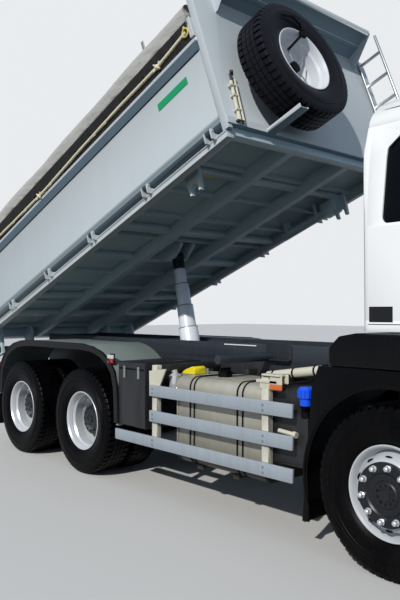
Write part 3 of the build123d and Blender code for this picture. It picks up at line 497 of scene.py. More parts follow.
ladder_metal = brushed("ladder_metal", srgb(188, 194, 196), roughness=0.4)
tyre_rubber = rubber("tyre_rubber", srgb(7, 7, 11), roughness=0.42, dust=0.03)
# Painted light: a lighter, bluer copy of the tyre rubber on the spare, standing in for the sky reflected on
# it
spare_rubber_painted_light = rubber("spare_rubber_painted_light", srgb(30, 31, 36), roughness=0.42, dust=0.1)
black_rubber = rubber("black_rubber", srgb(18, 18, 20), roughness=0.6, dust=0.1)
window_glass = tinted_glass()
mirror_face = mirror_glass()
tarp_cloth_and_shade = rolled_cloth()
band_cloth = woven_cloth("band_cloth", srgb(26, 25, 24), dust=0.15)
rope_cream = rubber("rope_cream", srgb(226, 216, 188), roughness=0.85, dust=0.06)
green_strip_paint = painted("green_strip_paint", srgb(22, 152, 98), roughness=0.35, dust=0.05, tone=0.02)
yellow_paint = painted("yellow_paint", srgb(238, 216, 30), roughness=0.45, dust=0.08, tone=0.03)
ring_yellow = painted("ring_yellow", srgb(204, 190, 96), roughness=0.5, dust=0.15, tone=0.04)
blue_plastic = painted("blue_plastic", srgb(14, 84, 232), roughness=0.35, dust=0.05, tone=0.03)
plate_white = painted("plate_white", srgb(222, 223, 220), roughness=0.4, dust=0.1, tone=0.02)
red_lens = lens("red_lens", srgb(176, 26, 20))
amber_lens = lens("amber_lens", amber_colour)
clear_lens = lens("clear_lens", srgb(220, 222, 220))
lamp_glass = lamp_cluster()
seat_fabric = woven_cloth("seat_fabric", srgb(48, 50, 54), dust=0.1)


# Mesh helpers

def with_links(verts):
    """Vertices with their edges and faces, for the operators that turn or repeat a part"""
    return verts + list({edge for vert in verts for edge in vert.link_edges}) + list(
        {face for vert in verts for face in vert.link_faces})


def only_verts(items):
    return [item for item in items if isinstance(item, bmesh.types.BMVert)]


def take_off_edges(bm, verts, width, segments=1):
    edges = list({edge for vert in verts for edge in vert.link_edges})
    bmesh.ops.bevel(bm, geom=edges, offset=width, segments=segments, profile=0.5, affect="EDGES", material=-1)


def placed_cube(bm, low, high, edge=0.0, turn=None, segments=1):
    """A box between two corners, with its edges taken off"""
    low, high = Vector(low), Vector(high)
    matrix = Matrix.Translation((low + high) / 2) @ (turn or Matrix()) @ Matrix.Diagonal((*(high - low), 1.0))
    verts = bmesh.ops.create_cube(bm, size=1.0, matrix=matrix)["verts"]
    if edge:
        take_off_edges(bm, verts, edge, segments)


def both_cubes(bm, low, high, edge=0.0):
    """The same box on the left and on the right"""
    placed_cube(bm, low, high, edge)
    placed_cube(bm, (low[0], -high[1], low[2]), (high[0], -low[1], high[2]), edge)


def rod(bm, start, end, radius, steps=12, tip_radius=None):
    """A round bar from one point to another, or a cone where its tip has another radius"""
    start, end = Vector(start), Vector(end)
    along = end - start
    place = Matrix.Translation((start + end) / 2) @ along.to_track_quat("Z", "Y").to_matrix().to_4x4()
    if tip_radius is None:
        tip_radius = radius
    return bmesh.ops.create_cone(bm, cap_ends=True, segments=steps, radius1=radius, radius2=tip_radius,
                                 depth=along.length, matrix=place)["verts"]


def rod_path(bm, points, radius, steps=8):
    for start, end in zip(points, points[1:]):
        rod(bm, start, end, radius, steps)


def stack(bm, foot, turned, steps=24):
    """Round steps over one foot: from and to which height, the radius, and the radius of the tip"""
    foot = Vector(foot)
    for low, high, radius, tip_radius in turned:
        rod(bm, foot + Vector((0, 0, low)), foot + Vector((0, 0, high)), radius, steps, tip_radius)


def plate(bm, outline, thickness, edge=0.0):
    """A flat outline in X and Z, made thick along Y from zero"""
    verts = [bm.verts.new((x, 0.0, z)) for x, z in outline]
    moved = only_verts(bmesh.ops.extrude_face_region(bm, geom=[bm.faces.new(verts)])["geom"])
    bmesh.ops.translate(bm, verts=moved, vec=(0, thickness, 0))
    if edge:
        take_off_edges(bm, verts + moved, edge)
    return verts + moved


def skin_rows(bm, rows, closed=False):
    """Faces between neighbouring rows of vertices"""
    for first, second in zip(rows, rows[1:]):
        for index in range(len(first) if closed else len(first) - 1):
            following = (index + 1) % len(first)
            bm.faces.new((first[index], first[following], second[following], second[index]))


def ball(bm, centre, radius, u_segments=10, v_segments=6):
    bmesh.ops.create_uvsphere(bm, u_segments=u_segments, v_segments=v_segments, radius=radius,
                              matrix=Matrix.Translation(centre))


def mirrored(section):
    """The other half of a section given as out and radius, back from its end"""
    return [(-out, radius) for out, radius in reversed(section)]


def ring(bm, section, steps, closed=True):
    """A section, given as out along Y and radius, turned about the Y axis"""
    verts = [bm.verts.new((0.0, out, radius)) for out, radius in section]
    pairs = list(zip(verts, verts[1:]))
    if closed:
        pairs.append((verts[-1], verts[0]))
    edges = [bm.edges.new(pair) for pair in pairs]
    bmesh.ops.spin(bm, geom=verts + edges, cent=(0, 0, 0), axis=(0, 1, 0), dvec=(0, 0, 0),
                   angle=2 * pi, steps=steps, use_merge=True, use_duplicate=False)


def repeat_round(bm, verts, count):
    """The part with these vertices repeated round the Y axis"""
    bmesh.ops.spin(bm, geom=with_links(verts), cent=(0, 0, 0), axis=(0, 1, 0), dvec=(0, 0, 0),
                   angle=2 * pi * (count - 1) / count, steps=count - 1, use_merge=False, use_duplicate=True)


def add_copy(bm, mesh, matrix):
    """A finished mesh added at another place"""
    held = mesh.copy()
    held.transform(matrix)
    bm.from_mesh(held)
    bpy.data.meshes.remove(held)


def finish_piece(bm, name, material, body, slot, place=None, sharp=35, replaces=()):
    """Cleans a mesh, gives it its finish and lets it ride on a body"""
    bmesh.ops.remove_doubles(bm, verts=bm.verts, dist=0.00005)
    bmesh.ops.recalc_face_normals(bm, faces=bm.faces)
    if place is not None:
        bmesh.ops.transform(bm, matrix=place, verts=bm.verts)
    mesh = bpy.data.meshes.new(name)
    bm.to_mesh(mesh)
    bm.free()
    mesh.materials.append(material)
    mesh.shade_smooth()
    mesh.set_sharp_from_angle(angle=radians(sharp))
    made = bpy.data.objects.new(name, mesh)
    bpy.context.scene.collection.objects.link(made)
    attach(made, body)
    if replaces:
        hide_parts(*replaces)
    return made


def on_truck(bm, name, material, slot, body="chassis", **details):
    """A piece drawn from the rearmost axle"""
    return finish_piece(bm, name, material, body, slot, truck_place, **details)


def on_bed(bm, name, material, slot, body="bed", **details):
    """A piece drawn in the bed's own frame"""
    return finish_piece(bm, name, material, body, slot, bed_place, **details)


def new_mesh(bm, name):
    mesh = bpy.data.meshes.new(name)
    bmesh.ops.recalc_face_normals(bm, faces=bm.faces)
    bm.to_mesh(mesh)
    bm.free()
    return mesh


# Finishes of the CAD nodes

finished_nodes = [
    (bed_paint, ["tailgate"]), (board_paint_and_shade, ["side_board_left", "side_board_right"]),
    (floor_paint_and_shade, ["bed_floor"]), (underframe_paint_and_shade, ["bed_frame"]), (front_wall_paint_and_shade, ["front_wall"]),
    (cab_paint, ["cab_floor", "cab_front", "cab_rear_wall", "cab_roof", "cab_sides", "door_left",
                 "door_right"]),
    (window_glass, ["cab_glass", "door_glass_left", "door_glass_right"]), (seat_fabric, ["seats"]),
    (dark_plastic, ["bumper", "arch_fairings", "mirrors"]), (arch_plastic_and_shade, ["front_arches"]),
    (trim_plastic, ["dashboard"]), (subframe_paint, ["subframe"]), (box_paint, ["side_boxes"]),
    (chassis_paint, ["cab_mounts", "chassis_frame", "front_axle", "rear_axles", "springs", "underrun_bar",
                     "cylinder_barrel"]),
    (cast_iron, ["knuckle_left", "knuckle_right", "engine_block"]), (galvanised, ["rear_mudguards"]),
    (cylinder_steel, ["cylinder_stage_1", "cylinder_stage_2", "cylinder_stage_3", "cylinder_stage_4"]),
    (ladder_metal, ["ladder", "tarp_tube"]), (tank_metal_and_shade, ["fuel_tank"]), (guard_metal, ["side_guards"]),
    (lamp_glass, ["lamps"]), (tarp_cloth_and_shade, ["tarp_roll"]),
    (tyre_rubber, [name for name in nodes if name.startswith("tyre") or name == "spare_tyre"]),
    (rim_paint, [name for name in nodes if name.startswith("rim") or name == "spare_rim"]),
]
cab_edge_radius, edge_radius = 0.012, 0.004


def dress_nodes():
    """Gives each CAD node its finish and takes the hardness off its edges"""
    finish_of = {name: finish for finish, names in finished_nodes for name in names}
    for name, node in nodes.items():
        node.data.materials.clear()
        node.data.materials.append(finish_of[name])
        weld = node.modifiers.new("weld", "WELD")
        weld.merge_threshold = 0.0002
        soften = node.modifiers.new("soften", "BEVEL")
        soften.width = cab_edge_radius if node["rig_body"] == "cab" else edge_radius
        soften.segments = 2
        soften.limit_method = "ANGLE"
        soften.angle_limit = radians(32)
        soften.use_clamp_overlap = True
        node.data.shade_smooth()
        node.data.set_sharp_from_angle(angle=radians(32))


# Wheels

tread_depth = 0.014
tyre_section = [
    (0.110, 0.289), (0.116, 0.302), (0.128, 0.312), (0.141, 0.335), (0.149, 0.365), (0.154, 0.4),
    (0.1535, 0.412), (0.1558, 0.415), (0.1558, 0.421), (0.153, 0.424), (0.1535, 0.436), (0.1556, 0.439),
    (0.1552, 0.444), (0.151, 0.448), (0.147, 0.475), (0.143, 0.498), (0.139, 0.511),
    (0.134, 0.5205), (0.09, 0.5225), (0.0, 0.523),
]
tread_lugs = 54
tread_ribs = [
    # middle of the rib, its width, lean of its lugs
    (0.0, 0.036, 0.25), (0.047, 0.042, -0.2), (-0.047, 0.042, 0.2),
]
rib_filled, shoulder_filled = 0.92, 0.68
shoulder_lean = 0.12
wheel_steps = 96


def make_tyre_mesh():
    """Carcass with three ribs of lugs and a row of wide lugs on each shoulder"""
    bm = bmesh.new()
    ring(bm, tyre_section + mirrored(tyre_section[:-1]), wheel_steps)
    top = tyre_radius - 0.0005
    low = tyre_radius - tread_depth - 0.004
    half_pitch = pi * tyre_radius / tread_lugs
    corners = ((-1, -1), (1, -1), (1, 1), (-1, 1))
    for middle, width, lean in tread_ribs:
        outline = [(x * half_pitch * rib_filled, y * width / 2) for x, y in corners]
        foot = [bm.verts.new((x + lean * y, middle + y, low)) for x, y in outline]
        head = only_verts(bmesh.ops.extrude_face_region(bm, geom=[bm.faces.new(foot)])["geom"])
        bmesh.ops.translate(bm, verts=head, vec=(0, 0, top - low))
        repeat_round(bm, foot + head, tread_lugs)
    shoulder = [(0.076, top), (0.124, top - 0.002), (0.136, top - 0.012), (0.1455, top - 0.044),
                (0.128, top - 0.05), (0.076, low)]
    for side in (1, -1):
        ends = [[bm.verts.new((x + side * shoulder_lean * out, side * out, z)) for out, z in shoulder]
                for x in (-half_pitch * shoulder_filled, half_pitch * shoulder_filled)]
        skin_rows(bm, ends, closed=True)
        for end in ends:
            bm.faces.new(end)
        repeat_round(bm, ends[0] + ends[1], tread_lugs)
    return new_mesh(bm, "tyre_pattern")


rim_flange = [
    (0.112, 0.2875), (0.1185, 0.289), (0.1215, 0.2985), (0.1265, 0.2995), (0.1295, 0.296), (0.128, 0.289),
    (0.118, 0.281), (0.112, 0.2765), (0.078, 0.2745), (0.068, 0.268), (0.052, 0.2535),
]


def make_rim_mesh(dish):
    """Barrel and dished disc; the disc's bolting face lies at the dish from the rim's middle"""
    bm = bmesh.new()
    barrel_inside = [(-0.052, 0.262), (0.052, 0.262)]
    ring(bm, rim_flange + mirrored(rim_flange) + barrel_inside, wheel_steps)
    disc = [
        (0.044, 0.256), (0.056, 0.252), (dish - 0.046, 0.235), (dish - 0.02, 0.2195), (dish - 0.006, 0.206),
        (dish, 0.193), (dish, 0.1), (dish - 0.012, 0.1), (dish - 0.012, 0.188), (dish - 0.03, 0.212),
        (dish - 0.056, 0.226), (0.036, 0.25),
    ]
    ring(bm, disc, wheel_steps)
    return new_mesh(bm, "rim_pattern")


nut_count, nut_circle, nut_radius = 10, 0.1675, 0.0175


def make_hand_holes(dish):
    """Black ovals round the disc's slope, painted shade standing in for the dark seen through the hand holes
    """
    bm = bmesh.new()
    slope = atan2(0.0135, 0.026)
    matrix = (Matrix.Translation((0, dish - 0.03, 0.2255)) @ Matrix.Rotation(slope, 4, "X")
              @ Matrix.Diagonal((0.026, 0.015, 0.0075, 1)))
    oval = bmesh.ops.create_uvsphere(bm, u_segments=14, v_segments=6, radius=1.0, matrix=matrix)["verts"]
    repeat_round(bm, oval, nut_count)
    return new_mesh(bm, "hand_holes")


def make_nut_mesh(face_at, domed):
    """Ring of ten nuts with their washers, capped or on open studs"""
    bm = bmesh.new()
    washer_foot, nut_foot, nut_top, stud_top = (
        Vector((0, face_at + out, nut_circle)) for out in (0.0, 0.005, 0.026, 0.042))
    rod(bm, washer_foot, nut_foot, 0.021, 20)
    rod(bm, nut_foot, nut_top, nut_radius, 6)
    if domed:
        matrix = Matrix.Translation(nut_top) @ Matrix.Diagonal((1, 0.75, 1, 1))
        bmesh.ops.create_uvsphere(bm, u_segments=14, v_segments=8, radius=nut_radius, matrix=matrix)
    else:
        rod(bm, nut_top, stud_top, 0.009, 10)
    repeat_round(bm, bm.verts[:], nut_count)
    return new_mesh(bm, "nut_ring")


front_hub_profile = [
    (-0.012, 0.099), (0.0, 0.2), (0.012, 0.2), (0.0165, 0.195), (0.0165, 0.138), (0.012, 0.132),
    (0.006, 0.126), (0.005, 0.112), (0.007, 0.104), (0.007, 0.088), (0.016, 0.082), (0.02, 0.074),
    (0.02, 0.04), (0.026, 0.036), (0.026, 0.0),
]
rear_hub_profile = [
    (-0.012, 0.09), (0.0, 0.184), (0.0145, 0.184), (0.0145, 0.15), (0.02, 0.1385), (0.15, 0.1365),
    (0.156, 0.149), (0.18, 0.15), (0.184, 0.146), (0.184, 0.134), (0.19, 0.128), (0.196, 0.108),
    (0.196, 0.06), (0.19, 0.056), (0.19, 0.034), (0.199, 0.03), (0.199, 0.0),
]


def make_hub_mesh(profile, bolts, bolt_circle, bolt_out):
    bm = bmesh.new()
    ring(bm, profile, 64, closed=False)
    bolt = rod(bm, (0, bolt_out, bolt_circle), (0, bolt_out + 0.01, bolt_circle), 0.009, 6)
    repeat_round(bm, bolt, bolts)
    return new_mesh(bm, "hub_pattern")


twin_dish, front_dish = 0.1725, 0.157
twins = [(1.095, -1, twin_dish), (0.75, 1, twin_dish)]
wheel_sets = {
    # distance from the middle of the truck and which way the disc lies, outermost first
    "front": [(1.105, 1, front_dish)], "middle": twins, "rear": twins,
}
# Degrees that the inner and the left tyres are turned, so that their lugs don't line up
inner_turn, left_turn = 37, 11


def build_wheels():
    tyre_mesh = make_tyre_mesh()
    rim_meshes = {dish: make_rim_mesh(dish) for dish in (twin_dish, front_dish)}
    hole_meshes = {dish: make_hand_holes(dish) for dish in (twin_dish, front_dish)}
    # Hub, nuts, and how far the ring of nuts is turned
    front_centre = (make_hub_mesh(front_hub_profile, bolts=10, bolt_circle=0.06, bolt_out=0.0195),
                    make_nut_mesh(face_at=0.0165, domed=True), radians(8))
    rear_centre = (make_hub_mesh(rear_hub_profile, bolts=12, bolt_circle=0.117, bolt_out=0.192),
                   make_nut_mesh(face_at=0.0145, domed=False), 0.0)
    for axle, wheels in wheel_sets.items():
        hub_mesh, nut_mesh, nut_turn = front_centre if axle == "front" else rear_centre
        for side_name, side in sides:
            label = f"{axle}_{side_name}"
            body = f"wheel_{label}"
            ahead, _, height = joints[f"{label}_wheel_spin"]["pos_m"]
            tyre, rim, hub, nuts, holes = (bmesh.new() for _ in range(5))
            for index, (out, way, dish) in enumerate(wheels):
                turn = Matrix.Rotation(radians(inner_turn * index + (left_turn if side > 0 else 0)), 4, "Y")
                middle = Matrix.Translation((ahead, side * out, height))
                dished = middle @ Matrix.Diagonal((1, side * way, 1, 1))
                add_copy(tyre, tyre_mesh, middle @ Matrix.Diagonal((1, side, 1, 1)) @ turn)
                add_copy(rim, rim_meshes[dish], dished)
                add_copy(holes, hole_meshes[dish], dished)
            out, way, dish = wheels[0]
            face = Matrix.Translation((ahead, side * (out + way * dish), height))
            face = face @ Matrix.Diagonal((1, side, 1, 1))
            add_copy(hub, hub_mesh, face)
            add_copy(nuts, nut_mesh, face @ Matrix.Rotation(nut_turn, 4, "Y"))
            finish_piece(tyre, "tread_" + label, tyre_rubber, body, "tyre", replaces=("tyre_" + label,))
            finish_piece(rim, "wheel_disc_" + label, rim_paint, body, "rim_paint", replaces=("rim_" + label,))
            finish_piece(hub, "hub_" + label, hub_paint, body, "chassis_paint")
            finish_piece(nuts, "nuts_" + label, polished_nut, body, "steel")
            finish_piece(holes, "hand_holes_" + label, black_rubber, body, "dark_plastic")
    spare = Matrix.Translation((spare_along, spare_out, spare_h)) @ Matrix.Rotation(-pi / 2, 4, "Z")
    tyre, rim = bmesh.new(), bmesh.new()
    add_copy(tyre, tyre_mesh, spare)
    add_copy(rim, rim_meshes[twin_dish], spare @ Matrix.Diagonal((1, -1, 1, 1)))
    on_bed(tyre, "spare_tread", spare_rubber_painted_light, "tyre", replaces=("spare_tyre",))
    on_bed(rim, "spare_wheel_disc", spare_rim_paint, "rim_paint", replaces=("spare_rim",))


# Fuel tank, its straps and what stands round it

# The tank's section as Y and Z
tank_middle, tank_half_size, tank_corner = (-0.85, 0.73), (0.3, 0.37), 0.09
strap_places = [2.985, 3.036, 3.55, 3.61]


def strap_path(proud, corner_steps=6):
    """The line of a strap round the tank, as Y and Z"""
    points = []
    radius = tank_corner + proud
    half_width, half_height = (size - tank_corner for size in tank_half_size)
    for number, (across, up) in enumerate(((1, 1), (-1, 1), (-1, -1), (1, -1))):
        for step in range(corner_steps + 1):
            angle = pi / 2 * (number + step / corner_steps)
            points.append((tank_middle[0] + across * half_width + radius * cos(angle),
                           tank_middle[1] + up * half_height + radius * sin(angle)))
    return points


def band_round(bm, path, ahead, width, thickness):
    """A flat band that follows a closed path of Y and Z at one place along the truck"""
    inner = [bm.verts.new((ahead - width / 2, y, z)) for y, z in path]
    edges = [bm.edges.new(pair) for pair in zip(inner, inner[1:] + inner[:1])]
    side = bmesh.ops.extrude_edge_only(bm, edges=edges)["geom"]
    bmesh.ops.translate(bm, verts=only_verts(side), vec=(width, 0, 0))
    faces = [item for item in side if isinstance(item, bmesh.types.BMFace)]
    bmesh.ops.recalc_face_normals(bm, faces=faces)
    bmesh.ops.solidify(bm, geom=faces, thickness=-thickness)


def build_tank_fittings():
    """Straps, seams and cap of the tank, and the round filler behind it"""
    bm = bmesh.new()
    for ahead in strap_places:
        band_round(bm, strap_path(0.002), ahead, 0.013, 0.005)
    on_truck(bm, "tank_straps", black_rubber, "dark_plastic")
    bm = bmesh.new()
    for ahead in (2.82, 3.83):
        band_round(bm, strap_path(0.0005), ahead, 0.012, 0.006)
    for ahead in strap_places:
        placed_cube(bm, (ahead - 0.012, -1.163, 0.43), (ahead + 0.012, -1.15, 0.5), 0.003)
    on_truck(bm, "tank_seams", tank_metal_and_shade, "aluminium")
    bm = bmesh.new()
    stack(bm, (3.15, -0.9, 1.1), [(0, 0.048, 0.062, 0.062), (0.048, 0.068, 0.05, 0.044)])
    placed_cube(bm, (3.142, -0.965, 1.152), (3.158, -0.835, 1.18), 0.004)
    on_truck(bm, "tank_cap", dark_plastic, "dark_plastic")
    bm = bmesh.new()
    stack(bm, (2.665, -1.055, 0.98), [(0, 0.105, 0.056, 0.056), (0.105, 0.125, 0.056, 0.036)], 28)
    rod(bm, (2.665, -1.055, 1.1), (2.655, -1.06, 1.135), 0.026, 20)
    placed_cube(bm, (2.665, -1.085, 0.965), (2.83, -1.025, 0.985), 0.003)
    on_truck(bm, "rear_filler", polished_nut, "steel")


def build_blue_cap():
    """Filler of the urea tank: black neck with its blue ribbed cap"""
    neck, cap = bmesh.new(), bmesh.new()
    rod(neck, (4.245, -1.13, 0.96), (4.245, -1.19, 1.01), 0.034, 20)
    placed_cube(neck, (4.19, -1.16, 0.9), (4.25, -1.12, 1.0), 0.008)
    cap_foot, cap_radius, rib_count, half_rib = Vector((4.27, -1.195, 1.002)), 0.055, 12, 0.004
    stack(cap, cap_foot, [(0, 0.058, 0.043, 0.043), (0.054, 0.114, cap_radius, cap_radius),
                          (0.114, 0.128, cap_radius, 0.044)])
    rib_low, rib_high = Vector((-half_rib, -half_rib, 0.06)), Vector((half_rib, half_rib, 0.108))
    for step in range(rib_count):
        angle = 2 * pi * step / rib_count
        rib = cap_foot + Vector((cap_radius * cos(angle), cap_radius * sin(angle), 0))
        placed_cube(cap, rib + rib_low, rib + rib_high)
    on_truck(neck, "urea_neck", black_rubber, "dark_plastic")
    on_truck(cap, "urea_cap", blue_plastic, "dark_plastic")


guard_posts = (2.53, 3.865)
rail_heights = (0.904, 0.677, 0.447)
rail_out = 1.2395


def build_post_heads():
    """Flared heads of the guard posts and the bolts that hold the rails"""
    cream, bolts = bmesh.new(), bmesh.new()
    flare, flare_thick = [(2.49, 0.99), (2.635, 0.99), (2.725, 1.15), (2.725, 1.156), (2.488, 1.125)], 0.012
    for out in (-guard_post_out, guard_post_out - flare_thick):
        bmesh.ops.translate(cream, verts=plate(cream, flare, flare_thick), vec=(0, out, 0))
    both_cubes(cream, (3.815, 1.165, 1.13), (4.025, 1.222, 1.155), 0.004)
    both_cubes(cream, (3.845, 1.17, 1.085), (3.965, guard_post_out, 1.132), 0.006)
    for post, rail_z, side, rise in product(guard_posts, rail_heights, (1, -1), (0.03, 0.07)):
        foot = Vector((post + 0.035, side * rail_out, rail_z + rise))
        rod(bolts, foot, foot + Vector((0, side * 0.006, 0)), 0.009, 10)
    on_truck(cream, "guard_post_heads", cream_paint, "aluminium")
    on_truck(bolts, "guard_bolts", galvanised, "galvanised")


def build_amber_lamps():
    """Side marker lamps on their cream brackets above the front guard posts"""
    glass, holder, steel = bmesh.new(), bmesh.new(), bmesh.new()
    both_cubes(glass, (3.965, 1.222, 1.088), (4.085, 1.246, 1.128), 0.008)
    both_cubes(holder, (3.88, 1.15, 1.13), (4.08, 1.165, 1.2), 0.006)
    both_cubes(holder, (3.88, 1.15, 1.185), (4.06, 1.235, 1.2), 0.004)
    both_cubes(holder, (3.95, 1.21, 1.125), (4.07, 1.222, 1.2), 0.004)
    for side in (1, -1):
        rod(steel, (4.0, side * 1.17, 0.79), (4.145, side * 1.17, 0.778), 0.017)
        rod(steel, (4.135, side * 1.17, 0.779), (4.165, side * 1.17, 0.776), 0.024)
    on_truck(glass, "side_marker_lamps", amber_lens, "lamp_lens")
    on_truck(holder, "side_marker_holders", cream_paint, "aluminium")
    on_truck(steel, "guard_end_brackets", cream_paint, "galvanised")


def build_storage_tube():
    """Tube with its end caps that lies along the frame in front of the tank, on two brackets"""
    start, end = Vector((3.68, -0.93, 1.148)), Vector((4.22, -0.93, 1.228))
    along = (end - start).normalized()
    tube_radius, bracket_shares = 0.038, (0.12, 0.88)
    tube, dark = bmesh.new(), bmesh.new()
    rod(tube, start, end, tube_radius, 24)
    for share in (0.12, 0.5, 0.88):
        centre = start.lerp(end, share)
        rod(dark, centre - along * 0.008, centre + along * 0.008, tube_radius + 0.0025, 24)
    for point, way in ((start, -1), (end, 1)):
        rod(dark, point, point + along * way * 0.03, tube_radius + 0.004, 20)
        rod(dark, point + along * way * 0.02, point + along * way * 0.075, 0.02)
    for share in bracket_shares:
        centre = start.lerp(end, share)
        placed_cube(dark, (centre.x - 0.012, centre.y + 0.03, 1.1),
                    (centre.x + 0.012, -0.44, centre.z - 0.03), 0.004)
    on_truck(tube, "storage_tube", cream_paint, "aluminium")
    on_truck(dark, "storage_tube_fittings", black_rubber, "dark_plastic")


def build_wheel_chock():
    """Yellow wedge in its holder behind the tank"""
    wedge, holder = bmesh.new(), bmesh.new()
    outline = [(2.68, 1.1), (2.85, 1.1), (2.85, 1.158), (2.82, 1.172), (2.72, 1.138), (2.685, 1.118)]
    plate(wedge, outline, 0.14, 0.005)
    bmesh.ops.translate(wedge, verts=wedge.verts, vec=(0, -0.99, 0))
    placed_cube(holder, (2.66, -1.0, 1.088), (2.87, -0.62, 1.1), 0.004)
    placed_cube(holder, (2.66, -0.845, 1.095), (2.87, -0.835, 1.15), 0.003)
    placed_cube(holder, (2.7, -0.7, 0.98), (2.76, -0.43, 1.095), 0.004)
    on_truck(wedge, "wheel_chock", yellow_paint, "box_paint")
    on_truck(holder, "chock_holder", galvanised, "galvanised")


def build_frame_fittings():
    """Dark bracket over the tank, brake chambers, spring bolts, a pale flange, and the air tanks"""
    bm = bmesh.new()
    placed_cube(bm, (3.2, -0.445, 1.225), (3.5, -0.43, 1.366), 0.004)
    placed_cube(bm, (3.2, -0.49, 1.225), (3.5, -0.445, 1.24), 0.004)
    chamber_out, spring_middle, rear_axles = 0.5, 0.675, (0.0, 1.35)
    for side in (1, -1):
        for ahead in rear_axles:
            neck = (ahead + 0.07, side * chamber_out, 0.76)
            rod(bm, neck, (ahead + 0.27, side * chamber_out, 0.82), 0.085, 20)
            rod(bm, (ahead - 0.03, side * chamber_out, 0.735), neck, 0.03)
        for ahead, out in product((spring_middle - 0.07, spring_middle + 0.07), (0.475, 0.565)):
            rod(bm, (ahead, side * out, 0.8), (ahead, side * out, 1.0), 0.011, 8)
    on_truck(bm, "frame_fittings", chassis_paint, "chassis_paint")
    bm = bmesh.new()
    both_cubes(bm, (2.655, 0.43, 1.34), (3.075, 0.441, 1.351), 0.002)
    on_truck(bm, "subframe_flange", plate_white, "galvanised")
    bm = bmesh.new()
    tank_z, tank_radius, end_radius = 0.72, 0.105, 0.06
    turned = [(2.2, 2.95, tank_radius, tank_radius), (2.15, 2.2, end_radius, tank_radius),
              (2.95, 3.0, tank_radius, end_radius)]
    for y in (-0.2, 0.2):
        for start, end, radius, tip_radius in turned:
            rod(bm, (start, y, tank_z), (end, y, tank_z), radius, 28, tip_radius)
        for ahead in (2.35, 2.8):
            rod(bm, (ahead - 0.015, y, tank_z), (ahead + 0.015, y, tank_z), tank_radius + 0.004, 28)
            placed_cube(bm, (ahead - 0.015, y - 0.015, tank_z + 0.1), (ahead + 0.015, y + 0.015, 0.98))
    on_truck(bm, "air_tanks", box_paint, "box_paint")


# Tipping bed

def build_green_strip():
    bm = bmesh.new()
    placed_cube(bm, (4.18, -1.2455, 0.86), (4.60, -1.2405, 0.93), 0.001)
    on_bed(bm, "green_strip", green_strip_paint, "bed_paint", "right_board")


def build_socket_skins():
    """Pale skin round each side socket under the bed, and a small yellow mark beside the right one"""
    skins, mark = bmesh.new(), bmesh.new()
    socket_along, skin_thick = 4.2, 0.004
    half = [(0.0, 0.15), (0.048, 0.121), (0.048, 0.062), (0.07, 0.062), (0.088, 0.2)]
    outline = [(-along, h) for along, h in half[-2:0:-1]] + half + [(-0.088, 0.2)]
    for out in (-1.0745, 1.0705):
        skin = plate(skins, [(socket_along + along, h) for along, h in outline], skin_thick)
        bmesh.ops.translate(skins, verts=skin, vec=(0, out, 0))
    placed_cube(mark, (4.2355, -0.945, 0.222), (4.2375, -0.845, 0.25))
    on_bed(skins, "socket_skins", plate_white, "bed_paint")
    on_bed(mark, "socket_mark", ring_yellow, "bed_paint")


roll_out = -1.19
roll_h = 1.43
roll_core = 0.027
roll_radius = 0.1
roll_turns = 9.0
roll_from, roll_to = -0.15, 4.8
flap_drop = 0.15


def roll_line(turn_steps=20, flap_steps=7):
    """Section of the tarpaulin: angle about the roll's middle, radius, and how far down the flap"""
    count = int(roll_turns * turn_steps)
    wound = [(-2 * pi * roll_turns * (1 - step / count) + pi,
              roll_core + (roll_radius - roll_core) * step / count, 0.0) for step in range(count + 1)]
    return wound + [(pi, roll_radius, flap_drop * step / flap_steps) for step in range(1, flap_steps + 1)]


def unevenness(along, angle, coarse, fine):
    """Slow noise over the roll, given how quickly it changes along and round it"""
    return terrain.noise(Vector((along * coarse, cos(angle) * fine, sin(angle) * fine)))


def build_tarpaulin():
    """The wound sheet with its free edge that hangs to the board"""
    line = roll_line()
    row_count = 90
    bm = bmesh.new()
    rows = []
    for row in range(row_count + 1):
        along = roll_from + (roll_to - roll_from) * row / row_count
        sag = 0.010 * sin(along * 2.1) + 0.006 * sin(along * 5.3 + 1)
        verts = []
        for angle, radius, drop in line:
            lump = 1 + 0.10 * unevenness(along, angle, 1.6, 1.4) + 0.035 * unevenness(along, angle, 7.0, 4.0)
            swing = (0.02 - 0.003 * sin(along * 9.0 + drop * 12)) * drop / flap_drop
            verts.append(bm.verts.new((along, roll_out + radius * lump * cos(angle) + swing,
                                       roll_h + sag * 0.4 + radius * lump * sin(angle) - drop)))
        rows.append(verts)
    skin_rows(bm, rows)
    cloth = on_bed(bm, "tarpaulin", tarp_cloth_and_shade, "tarpaulin", sharp=180, replaces=("tarp_roll",))
    build_tarp_edge()


rope_out = -1.272
rope_heights = [
    (-0.2, 1.198), (0.91, 1.203), (2.01, 1.178), (2.85, 1.207), (3.66, 1.223), (4.31, 1.214), (4.8, 1.256)]
rope_count, rope_radius = 46, 0.0155


def rope_points():
    points = []
    for number in range(rope_count + 1):
        along = roll_from + 0.03 + (roll_to - roll_from - 0.08) * number / rope_count
        for (near, low), (far, high) in zip(rope_heights, rope_heights[1:]):
            if near <= along <= far:
                h = low + (high - low) * (along - near) / (far - near)
        points.append(Vector((along, rope_out, h + 0.004 * terrain.noise(Vector((along * 3.0, 0.3, 0.7))))))
    return points


